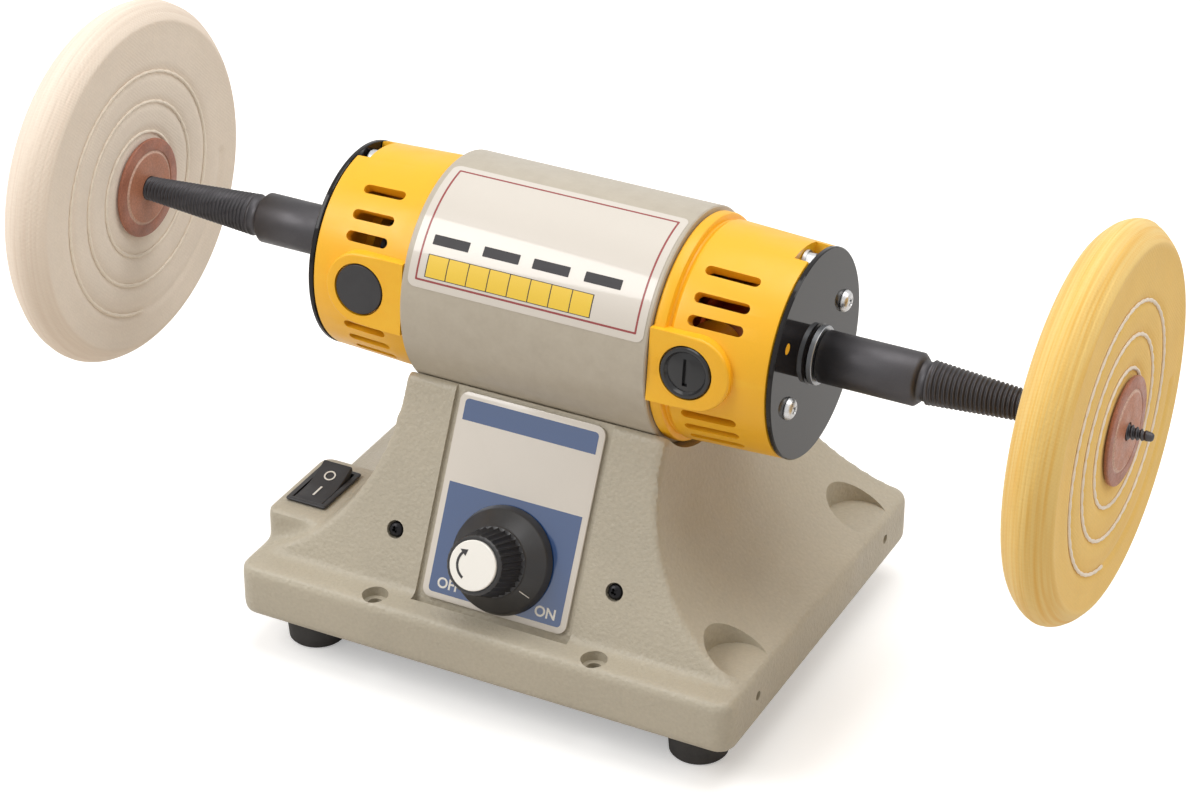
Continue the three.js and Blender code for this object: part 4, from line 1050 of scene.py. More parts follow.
@dataclass
class Base:
    """The cast base with its feet and the grommet of the cord's way out."""

    width: float = 152.8
    depth: float = 124.2
    bottom: float = 11.9
    recess_top: float = 23.9
    wall: float = 4.0
    corner: float = 5.0
    neck: float = 40.0
    flank_radius: float = 50.925
    flank_height: float = 48.1
    back_edge: float = 59.9
    front_top: float = 81.5
    back_top: float = 88.0
    cradle: float = 33.2
    motor_room: float = 37.2
    pocket: float = 9.0
    grain: float = 1.15
    block: Point = (-65.6, -29.9)
    block_size: Point = (21, 32.8)
    block_top: float = 37.9
    recess: Point = (142.8, 114.2)
    feet_at: Point = (60.4, 46.1)
    bench_at: Point = (34.0, -57.3)
    pockets: Outline = ((68.4, -40.6), (68.4, 40.6), (-68.4, 40.6))
    foot: Outline = (
        (0, 3.7), (0, 7.4), (0.15, 7.8), (0.6, 8.2), (10.9, 9.05),
        (11.3, 9.1), (11.6, 8.8), (11.6, 2.3), (6.6, 2.3), (6.6, 3.7),
    )
    bush: Outline = (
        (57.1, 3.3), (57.1, 4.5), (62.4, 4.5), (62.4, 6.3), (62.6, 6.4),
        (64.6, 6.35), (65.3, 6.1), (65.6, 5.6), (65.6, 3.6), (65.3, 3.3),
    )

    def build(self) -> None:
        """Makes the casting, the feet and the grommet."""
        self.casting()
        self.feet()
        piece = Piece.turned("cord_bush", self.bush, 48).turn(90, Axis.Z).move((CORD_AT[0], 0, CORD_AT[1]))
        piece.fit(Finishes.RUBBER, "rubber", "cord_grommet")

    def flanks(self, inset: float, bottom: float) -> list[Point]:
        """Outlines the pedestal as seen from the front.

        Args:
            inset: how far the sides are drawn in.
            bottom: where the outline ends below.

        Returns:
            The outline as X and Z.
        """
        radius = self.flank_radius + inset
        centre = (self.neck + self.flank_radius, SLAB_TOP + self.flank_height)
        foot = math.degrees(math.asin((centre[1] - max(bottom, SLAB_TOP - inset)) / radius))
        curve = arc(centre, radius, 180 + foot, 180, 28)
        right = [(curve[0][0], bottom), *curve, (curve[-1][0], SHAFT_HEIGHT)]
        return right + [(-x, z) for x, z in reversed(right)]

    def slopes(self, inset: float, bottom: float) -> list[Point]:
        """Outlines the pedestal as seen from the side.

        Args:
            inset: how far the slopes are drawn in.
            bottom: where the outline ends below.

        Returns:
            The outline as Y and Z.
        """
        lean = math.radians(FRONT_LEAN)
        rise, drawn_in = math.tan(lean), inset / math.cos(lean)
        front = [(FRONT_EDGE + (z - SLAB_TOP) * rise + drawn_in, z) for z in (self.front_top, SLAB_TOP)]
        back = [(self.back_edge - (z - SLAB_TOP) * rise - drawn_in, z) for z in (SLAB_TOP, self.back_top)]
        top = [(0, self.back_top), (0, self.front_top)]
        return [(front[1][0], bottom), (back[0][0], bottom), *back, *top, *front]

    def pedestal(self, name: str, inset: float, bottom: float) -> Piece:
        """Crosses the two outlines into the pedestal's form.

        Args:
            name: the piece's name.
            inset: how far its sides are drawn in.
            bottom: where it ends below.

        Returns:
            The piece.
        """
        form = Piece.drawn(name, self.flanks(inset, bottom), -self.depth / 2, self.depth / 2, Axis.Y)
        side = Piece.drawn("side", self.slopes(inset, bottom), -self.width / 2, self.width / 2, Axis.X)
        return form.combine("INTERSECT", (side,))

    def casting(self) -> None:
        """Makes the casting: its mass is run together as in a mould, then it is machined."""
        body = Piece.drawn("cast_base", rounded(self.width, self.depth, self.corner), self.bottom, SLAB_TOP)
        outline = rounded(*self.block_size, 3, self.block)
        raised = Piece.drawn("switch_block", outline, self.recess_top, self.block_top)
        body.soften(2.2, 4).gather(self.pedestal("pedestal", 0, self.recess_top), raised.soften(1.4))
        body.modify("REMESH", mode="VOXEL", voxel_size=self.grain)
        body.modify("SMOOTH", factor=0.5, iterations=4)
        body.cut(*(Piece.rod("pocket", SLAB_TOP - 0.1, 70, self.pocket, Axis.Z, at, 96) for at in self.pockets))
        body.cut(self.machining())
        body.fit(Finishes.CASTING, "cast_paint", "base_casting")

    def machining(self) -> Piece:
        """Gathers all that is hollowed out, drilled or milled.

        Returns:
            The one tool that cuts it.
        """
        corners = [(x * self.feet_at[0], y * self.feet_at[1]) for x in (-1, 1) for y in (-1, 1)]
        bench = [(x * self.bench_at[0], self.bench_at[1]) for x in (-1, 1)]
        recess = Piece.drawn("recess", rounded(*self.recess, self.corner), 9.9, self.recess_top)
        recess.cut(*(Piece.rod("boss", 13.7, SLAB_TOP, 6.5, Axis.Z, at, 32) for at in corners + bench))
        hollow = self.pedestal("hollow", self.wall, 21.9)
        hollow.cut(Piece.rod("motor_room", -90, 90, self.motor_room, at=(0, SHAFT_HEIGHT), sides=96))
        hollow.cut(*(Piece.rod("post", 9, SHAFT_HEIGHT, 13, Axis.Z, at) for at in self.pockets))
        tools = [hollow, Piece.rod("cradle", -90, 90, self.cradle, at=(0, SHAFT_HEIGHT), sides=192)]
        tools += [Piece.rod("foot_hole", 11.7, 22, 2.3, Axis.Z, at, 24) for at in corners]
        for at in bench:
            tools.append(Piece.rod("bench_sink", 25.1, 29.9, 3.7, Axis.Z, at, 32))
            tools.append(Piece.rod("bench_hole", 5, SLAB_TOP, 2.2, Axis.Z, at, 32))
        tools += [Piece.rod("side_hole", 73.4, 78.4, 1.4, at=(y, 21.0), sides=24) for y in (-43.5, 43.5)]
        tools.append(Piece.box("rocker_hole", (11.1, 19.0, 40), (*SWITCH_AT, 41.9)))
        tools.append(Piece.rod("cord_hole", 40, 70, 4.8, Axis.Y, CORD_AT, 32))
        for x, radius in MOUNT_HOLES:
            tools.append(Piece.rod("mount_hole", 63.7, SHAFT_HEIGHT, radius, Axis.Z, (x, 0), 24))
        return recess.add(*tools, *self.front_cuts())

    def front_cuts(self) -> list[Piece]:
        """Makes the tools that cut the sloping front: the panel's channel and the control's holes.

        Returns:
            The tools.
        """
        tools = [Piece.box("channel", (48.4, 63.5, 3.1), (0, 29.7, 0.45)).stand(FRONT_FRAME)]
        tools.append(Piece.rod("bush_hole", -7, 2, 3.8, Axis.Z, sides=32).stand(KNOB_FRAME))
        for x in (-FRONT_SCREW_X, FRONT_SCREW_X):
            for start, end, radius, sides in ((-1.6, 3, 2.6, 32), (-7, 0, 1.7, 24)):
                hole = Piece.rod("screw_hole", start, end, radius, Axis.Z, (x, 0), sides)
                tools.append(hole.stand(KNOB_FRAME))
        return tools

    def feet(self) -> None:
        """Turns one rubber foot and copies it to the four corners."""
        foot = Piece.turned("rubber_foot", self.foot, 64).turn(-90, Axis.Y)
        for y, word in ((-1, "front"), (1, "back")):
            for hand in Hand:
                piece = foot.copy(f"rubber_foot_{word}_{hand.word}")
                piece.move((hand.value * self.feet_at[0], y * self.feet_at[1], 0))
                piece.fit(Finishes.RUBBER, "rubber", f"foot_{word}_{hand.word}")
        foot.discard()


# ---- motor housing


@dataclass
class MotorHousing:
    """The grey motor housing and the bare printed label on its front."""

    left: float = -38.0
    right: float = 36.0
    radius: float = 32.9
    bore: float = 28.9
    edge: float = 0.35
    label: Point = (71.0, 39.0)
    label_centre: Point = (-0.7, 0.4)
    label_angle: float = 50.0
    boxes: Point = (-25.7, -10.5, 4.5, 20.0)
    squares: int = 8
    pitch: float = 6.22
    squares_at: Point = (-31.2, -12.7)

    def build(self) -> None:
        """Makes the housing and the label."""
        self.housing()
        self.print_label()

    def housing(self) -> None:
        """Turns the housing and drills it for its screws and wires."""
        near, high = self.edge, self.radius
        outline = [(self.left, self.bore), (self.left, high - near), (self.left + near, high)]
        outline += [(self.right - near, high), (self.right, high - near), (self.right, self.bore)]
        tube = Piece.turned("motor_tube", outline, 192)
        tube.cut(*(Piece.rod("down_hole", -40, -20, radius, Axis.Z, (x, 0), 24) for x, radius in MOUNT_HOLES))
        tube.fit(Finishes.HOUSING, "housing_paint", "motor_body", frame=MOTOR_FRAME)

    def wrap(self, place: Vector) -> Vector:
        """Bends a flat place, along X and round the front, onto the housing.

        Args:
            place: the flat place.

        Returns:
            The place on the housing.
        """
        radius = self.radius + 0.02 + place.z
        angle = math.radians(self.label_angle) + place.y / self.radius
        return Vector((place.x, -radius * math.cos(angle), SHAFT_HEIGHT + radius * math.sin(angle)))

    def wrapped(self, piece: Piece, finish: Finish) -> None:
        """Wraps a flat print round the housing and fits it."""
        piece.slice(Axis.Y, -20, 20, 1.25).reshape(self.wrap)
        piece.fit(finish, "panel_print")

    def print_label(self) -> None:
        """Makes the label's sheet, its red border, four blank boxes and a row of blank squares."""
        (width, height), centre = self.label, self.label_centre
        self.wrapped(Piece.drawn("label_sheet", rounded(*self.label, 2.2, centre), 0, 0.1), Finishes.SILVER_PRINT)
        line = Piece.drawn("label_line", rounded(width - 4.4, height - 4.0, 0.3, centre, 2), 0.1, 0.13)
        line.cut(Piece.drawn("line_inside", rounded(width - 5.5, height - 5.1, 0.2, centre, 2), 0, 1))
        self.wrapped(line, Finishes.RED_PRINT)
        dark, pitch, (start, middle) = Finishes.DARK_PRINT, self.pitch, self.squares_at
        long = pitch * self.squares
        prints = [(f"box_{n}", (10.9, 2.8, 0.15, (x, -5.4)), 0.13, dark) for n, x in enumerate(self.boxes, 1)]
        prints.append(("strip", (long + 0.3, 6.4, 0.1, (start + long / 2, middle)), 0.12, dark))
        for number in range(self.squares):
            form = (pitch - 0.3, 6.0, 0.1, (start + pitch * (number + 0.5), middle))
            prints.append((f"square_{number + 1}", form, 0.14, Finishes.YELLOW_PRINT))
        for name, form, top, finish in prints:
            self.wrapped(Piece.drawn("label_" + name, rounded(*form, 2), 0.1, top), finish)


# ---- ends of the motor


@dataclass(frozen=True)
class End:
    """The places along one end of the motor, from its middle, and what that end carries."""

    hand: Hand
    root: float
    reach: float
    vent_length: float
    pad_centre: float
    pad_nose: float
    pad_angles: tuple[int, ...]
    flanged: bool

    @property
    def word(self) -> str:
        """The end's name in piece names."""
        return self.hand.word

    @property
    def cap_end(self) -> float:
        """Where the cap ends."""
        return self.reach - 1.7

    @property
    def bolt_seat(self) -> float:
        """Where the tie bolts bear, on the web's outer face."""
        return self.cap_end - 4

    @property
    def bearing_inner(self) -> float:
        """Where the bearing starts."""
        return self.cap_end - 7.6

    @property
    def spindle_start(self) -> float:
        """Where the spindle starts."""
        return self.reach + 2.4

    def pad_frame(self, angle: float) -> Matrix:
        """The frame on a pad: X along the motor, Z out of the pad."""
        out = Matrix.Translation((self.hand.value * self.pad_centre, -31.6, 0)) @ turned_by(90)
        return MOTOR_FRAME @ turned_by(-angle) @ out

    def fit(self, piece: Piece, finish: Finish, slot: str, *nodes: str, **options: object) -> bpy.types.Object:
        """Turns a piece round for the left end and fits it in the motor's frame.

        Args:
            piece: the piece, made for the right end.
            finish: its finish.
            slot: the record's material slot.
            *nodes: the CAD nodes that it replaces.
            **options: its body and its crease angle.

        Returns:
            The piece's object.
        """
        if self.hand is Hand.LEFT:
            piece.mirror_x()
        return piece.fit(finish, slot, *nodes, frame=MOTOR_FRAME, **options)


LEFT_END = End(Hand.LEFT, 38.3, 69.2, 13.1, 51.7, 10.4, (0,), False)
RIGHT_END = End(Hand.RIGHT, 36.3, 70.8, 15.7, 47.2, 12.6, (0, 180), True)


def round_axis(circle: float, degrees: float) -> Point:
    """A place on a circle round the motor, as Y and Z, at an angle up from the front."""
    forward, up = polar(circle, degrees)
    return -forward, up


@dataclass
class EndCap:
    """One yellow cap with its pads, vents, notches and posts."""

    end: End
    bore: float = 26.4
    spigot: float = 28.6
    root_radius: float = 30.4
    end_radius: float = 29.2
    flange: Point = (3.6, 31.7)
    hub: Point = (11.3, 14.3)
    pad_reach: float = 31.6
    pad_half: float = 10.4
    vent_width: float = 2.9
    vents: Point = (26, 38, 53.5, -27, -38, -49.5)

    def build(self) -> None:
        """Makes the cap, right-handed, and turns it round for the left."""
        shell, angles = self.shell(), self.end.pad_angles
        shell.add(*(self.pad(angle) for angle in angles), *self.posts())
        shell.cut(*(tool for angle in angles for tool in self.pad_holes(angle)))
        shell.cut(*self.vent_cuts(), *self.notches(), *self.bores())
        self.end.fit(shell, Finishes.YELLOW, "yellow_plastic", f"end_cap_{self.end.word}", crease=38)

    def rim(self) -> list[Point]:
        """Outlines the cap's root: a flange and a groove where it is flanged, else a plain lip.

        Returns:
            The outline as X and radius.
        """
        root, high, (width, reach) = self.end.root, self.root_radius, self.flange
        if not self.end.flanged:
            return [(root + 0.5, high), (root, high - 0.4)]
        edge = root + width
        groove = [(root + 6.2, high - 0.1), (root + 5.2, high - 0.15), (root + 4.7, 29.8)]
        groove += [(edge + 0.5, 29.6), (edge + 0.1, 29.9), (edge, reach - 0.9)]
        return groove + [(edge - 0.3, reach - 0.25), (edge - 0.9, reach), (root + 0.6, reach), (root, reach - 0.5)]

    def shell(self) -> Piece:
        """Turns the spigot, wall, web and bearing hub.

        Returns:
            The cap's shell.
        """
        end, bore, (hub_bore, hub_radius) = self.end, self.bore, self.hub
        web, seat, last, step = end.bolt_seat - 3, end.bolt_seat, end.cap_end, end.bearing_inner - 0.3
        lip = end.bearing_inner - 1.8
        outline = [(end.root - 4, bore), (web, bore), (web, hub_radius), (lip, hub_radius)]
        outline += [(lip, hub_bore - 1.5), (step, hub_bore - 1.5), (step, hub_bore), (last, hub_bore)]
        outline += [(last, hub_radius), (seat, hub_radius), (seat, bore), (last, bore)]
        outline += [(last, self.end_radius - 0.5), (last - 0.15, self.end_radius - 0.15)]
        outline += [(last - 0.6, self.end_radius), *self.rim()]
        outline += [(end.root, self.spigot), (end.root - 4, self.spigot)]
        return Piece.turned(f"yellow_cap_{end.word}", outline, 160)

    def pad(self, angle: float) -> Piece:
        """Makes the flat raised pad round a brush cap or plug, with a soft outer edge.

        Args:
            angle: its place round the motor.

        Returns:
            The pad.
        """
        root, half, front = self.end.root, self.pad_half, -self.pad_reach + 0.01
        nose = arc((self.end.pad_centre + self.end.pad_nose - half, 0), half, -90, 90, 28)
        pad = Piece.drawn("pad", [(root, half), (root, -half), *nose], -self.pad_reach, -self.bore, Axis.Y)
        pad.round_edges(lambda edge: all(v.co.y < front and v.co.x > root + 0.01 for v in edge.verts), 1.1, 5)
        return pad.turn(-angle)

    def posts(self) -> list[Piece]:
        """Makes the tie bolts' bosses, the plate screws' posts, the peg and the brush holders.

        Returns:
            The posts.
        """
        end, seat = self.end, self.end.bolt_seat
        posts = [Piece.rod("boss", end.root, seat, 3.7, at=round_axis(BOLT_CIRCLE, a)) for a in BOLTS.values()]
        ends = [(end.cap_end, 3.4, place) for place in PLATE_SCREWS.values()] + [(end.reach - 0.12, 1.55, PEG)]
        posts += [Piece.rod("post", seat - 3, top, r, at=round_axis(*place), sides=32) for top, r, place in ends]
        for angle in end.pad_angles if end.flanged else ():
            posts.append(Piece.rod("holder", -30, -12, 8, Axis.Y, (end.pad_centre, 0), 48).turn(-angle))
        return posts

    def pad_holes(self, angle: float) -> list[Piece]:
        """Makes the tools for a pad's stepped hole and the brush's way in.

        Args:
            angle: the pad's place round the motor.

        Returns:
            The tools.
        """
        at, face = (self.end.pad_centre, 0), -self.pad_reach
        depth = 7.3 if self.end.flanged else 8
        tools = [Piece.rod("sink", face - 2, face + 1.6, 7.6, Axis.Y, at)]
        tools.append(Piece.rod("hole", face, face + depth, 5.9, Axis.Y, at))
        if self.end.flanged:
            tools.append(Piece.box("way", (8.6, 31.6, 5.6), (at[0], -15.8, 0)))
        return [tool.turn(-angle) for tool in tools]

    def vent_cuts(self) -> list[Piece]:
        """Makes the tools for the round-ended cooling slots, front and back.

        Returns:
            The tools.
        """
        long = self.end.vent_length
        outline = rounded(long, self.vent_width, 1.4, (self.end.reach - 10.3 - long / 2, 0), 5)
        slot = Piece.drawn("vent", outline, -34, -24, Axis.Y)
        turns = [turn for angle in self.vents for turn in (angle, 180 - angle)]
        tools = [slot.copy("vent_cut").turn(-turn) for turn in turns]
        slot.discard()
        return tools

    def notches(self) -> list[Piece]:
        """Makes the tools that open the rim over each tie bolt.

        Returns:
            The tools.
        """
        start, end = self.end.bolt_seat, self.end.cap_end + 2
        corners = ((21.2, -14), (33, -14), (33, 14), (21.2, 14))
        outlines = [[round_axis(c, middle + a) for c, a in corners] for middle in BOLTS.values()]
        return [Piece.drawn("notch", outline, start, end, Axis.X) for outline in outlines]

    def bores(self) -> list[Piece]:
        """Makes the tools for the tie bolts' and the plate screws' holes.

        Returns:
            The tools.
        """
        holes = [(self.end.root - 6, self.end.cap_end, 2.1, (BOLT_CIRCLE, angle)) for angle in BOLTS.values()]
        low, high = self.end.bolt_seat - 5, self.end.cap_end + 2
        holes += [(low, high, 1.8, place) for place in PLATE_SCREWS.values()]
        return [Piece.rod("bore", a, b, radius, at=round_axis(*place), sides=24) for a, b, radius, place in holes]


@dataclass
class EndPlate:
    """One black end plate with its collar, bright ring, peep hole and two screws."""

    end: End
    radius: float = 29.2
    hole: float = 6.2
    collar: float = 8.0

    def build(self) -> None:
        """Makes the plate, the ring and the screws."""
        self.plate()
        self.ring()
        for word, place in PLATE_SCREWS.items():
            self.screw(round_axis(*place), word)

    def plate(self) -> None:
        """Turns and drills the plate."""
        out, radius, collar = self.end.reach, self.radius, self.collar
        outline = [(out - 1.4, self.hole), (out - 1.4, radius - 0.25), (out - 1.15, radius), (out - 0.3, radius)]
        outline += [(out, radius - 0.3), (out, radius - 0.5), (out, collar + 0.7), (out, collar + 0.5)]
        outline += [(out + 0.3, collar), (out + 1.5, collar), (out + 1.5, self.hole)]
        disc = Piece.turned(f"face_plate_{self.end.word}", outline, 160)
        for place, drill in (*((place, 1.8) for place in PLATE_SCREWS.values()), (PEG, 1.7)):
            disc.cut(Piece.rod("plate_hole", out - 3, out + 3, drill, at=round_axis(*place), sides=32))
        self.end.fit(disc, Finishes.PLATE, "satin_black", f"end_plate_{self.end.word}")

    def ring(self) -> None:
        """Turns the bright ring that closes the collar."""
        start, low, high = self.end.reach + 1.5, self.collar + 0.03, self.collar + 0.2
        outline = [(start + 0.02, self.hole), (start + 0.02, low), (start - 0.9, low), (start - 0.9, high - 0.1)]
        outline += [(start - 0.8, high), (start + 0.45, high), (start + 0.6, high - 0.15)]
        outline += [(start + 0.6, self.hole)]
        self.end.fit(Piece.turned(f"bright_ring_{self.end.word}", outline), Finishes.STEEL, "zinc")

    def screw(self, at: Point, word: str) -> None:
        """Turns a pan-head screw and cuts its cross recess.

        Args:
            at: its place round the motor's axis.
            word: its name's last word.
        """
        seat, name = self.end.reach + 0.05, f"{self.end.word}_{word}"
        outline = [(seat - 6.7, 0), (seat - 6.7, 1.5), (seat, 1.5), (seat, 3.1), (seat + 0.2, 3.15)]
        outline += [*dome(seat, 2.0, 3.15, 0.55, (12, 30, 48, 64, 78)), (seat + 2.0, 0)]
        piece = Piece.turned("pan_screw_" + name, outline, 48)
        piece.cut(*cross_recess(seat + 2.4, 1.6, 3.2)).move((0, *at))
        self.end.fit(piece, Finishes.ZINC, "zinc", "end_plate_screw_" + name)


def cross_recess(top: float, depth: float, span: float) -> list[Piece]:
    """Makes the tools for a cross recess that opens along X.

    Args:
        top: where the tools start, above the head.
        depth: how far down they reach.
        span: how long each arm of the cross is.

    Returns:
        The tools.
    """
    tools, floor = [], top - depth + 0.01
    for tilt in (35, 125):
        arm = Piece.box("recess_arm", (depth, span, 0.75), (top - depth / 2, 0, 0))
        with arm.edit():
            arm.choose("FACE", lambda face: face.calc_center_median().x < floor)
            bpy.ops.transform.resize(value=(1, 0.45, 0.8))
        tools.append(arm.turn(tilt))
    return tools


@dataclass
class MotorFittings:
    """What is fitted in and through the caps: brush caps, plug and tie bolts."""

    brush: Outline = (
        (-6.6, 0), (-6.6, 5.6), (-1.3, 5.6), (-1.3, 7.15), (-1.15, 7.3), (-0.1, 7.3), (0.35, 7.0),
        (0.45, 6.6), (0.35, 6.1), (-0.15, 5.75), (-0.45, 5.5), (-0.4, 5.2), (-0.05, 3.6), (0.1, 0),
    )
    blank: Outline = (
        (-2.6, 0), (-2.6, 5.6), (-1.3, 5.6), (-1.3, 7.1),
        (-0.2, 7.1), (0, 6.9), (0.02, 4.0), (0.05, 0),
    )
    bolt: Outline = (
        (-67.2, 0), (-67.2, 2.7), (-66.9, 3.0), (-64.6, 3.0), (-64.6, 3.6), (-63.8, 3.6), (-63.8, 1.8),
        (65.4, 1.8), (65.4, 3.6), (66.2, 3.6), (66.2, 3.0), (68.5, 3.0), (68.8, 2.7), (68.8, 0),
    )

    def build(self) -> None:
        """Makes the brush caps, the plug and the tie bolts."""
        for word, angle in (("front", 0), ("back", 180)):
            cap = Piece.turned(f"slotted_cap_{word}", self.brush)
            cap.cut(Piece.box("slot", (2.4, 1.5, 7.6), (0.2, 0, 0))).turn(-90, Axis.Y).turn(90, Axis.Z)
            frame = RIGHT_END.pad_frame(angle)
            cap.fit(Finishes.BLACK, "black_plastic", f"brush_cap_{word}", frame=frame)
        plug = Piece.turned("flat_plug", self.blank).turn(-90, Axis.Y)
        plug.fit(Finishes.BLACK_SATIN, "black_plastic", "blank_plug", frame=LEFT_END.pad_frame(0))
        for word, angle in BOLTS.items():
            bolt = Piece.turned(f"through_bolt_{word}", self.bolt, 48)
            bolt.cut(*(Piece.box("slot", (1.4, 0.9, 8), (x, 0, 0)) for x in (69.0, -67.4)))
            bolt.move((0, *round_axis(BOLT_CIRCLE, angle)))
            bolt.fit(Finishes.ZINC, "zinc", f"tie_bolt_{word}", frame=MOTOR_FRAME)


# ---- rotor


@dataclass
class Spindle:
    """One blacked spindle: sleeve, neck, tapered thread and plain tip."""

    end: End
    shank: Point = (92.3, 4.3)
    sleeve: Point = (101.5, 7.25)
    neck: float = 5.4
    thread: Point = (104.0, 163.2)
    tapers: Outline = ((104.0, 6.1), (157.0, 2.35), (163.2, 1.35))
    tip: Outline = ((164.4, 1.15), (164.8, 0.8), (165.0, 0))
    pitch: float = 1.25
    depth: float = 0.6
    groove: Point = (0.42, 1.25)
    run_out: float = 1.5
    steps: int = 420

    def build(self) -> None:
        """Turns the spindle, chases its thread and turns it round for the left."""
        start, (depth, shank), (end, radius) = self.end.spindle_start, self.shank, self.sleeve
        outline = [(depth, 0), (depth, shank), (start, shank), (start, radius - 0.4), (start + 0.4, radius)]
        outline += [(end - 1.2, radius), (end, radius - 1.1), (end, self.neck + 0.3), (end + 0.3, self.neck)]
        low, high = self.thread
        along = [low + (high - low) * step / self.steps for step in range(self.steps + 1)]
        outline += [(low - 0.6, self.neck), *((x, self.over_thread(x)) for x in along), *self.tip]
        word = self.end.word
        piece = Piece.turned(f"threaded_spindle_{word}", outline, 64).reshape(self.chase)
        piece.modify("TRIANGULATE")
        self.end.fit(piece, Finishes.BLACK_STEEL, "black_steel", f"spindle_{word}", body=Body.ROTOR, crease=50)

    @classmethod
    def over_thread(cls, along: float) -> float:
        """The radius over the thread at a place along it.

        Args:
            along: the place.

        Returns:
            The radius.
        """
        (start, thick), (bend, slim), (end, thin) = cls.tapers
        if along < bend:
            return thick + (slim - thick) * (along - start) / (bend - start)
        return slim + (thin - slim) * (along - bend) / (end - bend)

    def chase(self, place: Vector) -> Vector:
        """Draws the thread's groove into the taper, running out at both ends.

        Args:
            place: a place on the plain taper.

        Returns:
            The place on the thread.
        """
        (start, end), (half, steep) = self.thread, self.groove
        if not start < place.x < end:
            return place
        turn = math.atan2(place.z, place.y) / math.tau
        phase = (place.x / self.pitch - turn) % 1
        groove = min(1.0, steep * max(0.0, 1 - abs(phase - 0.5) / half))
        run_out = min(1.0, (place.x - start) / self.run_out, (end - place.x) / self.run_out)
        share = 1 - self.depth * groove * run_out / self.over_thread(place.x)
        return Vector((place.x, place.y * share, place.z * share))


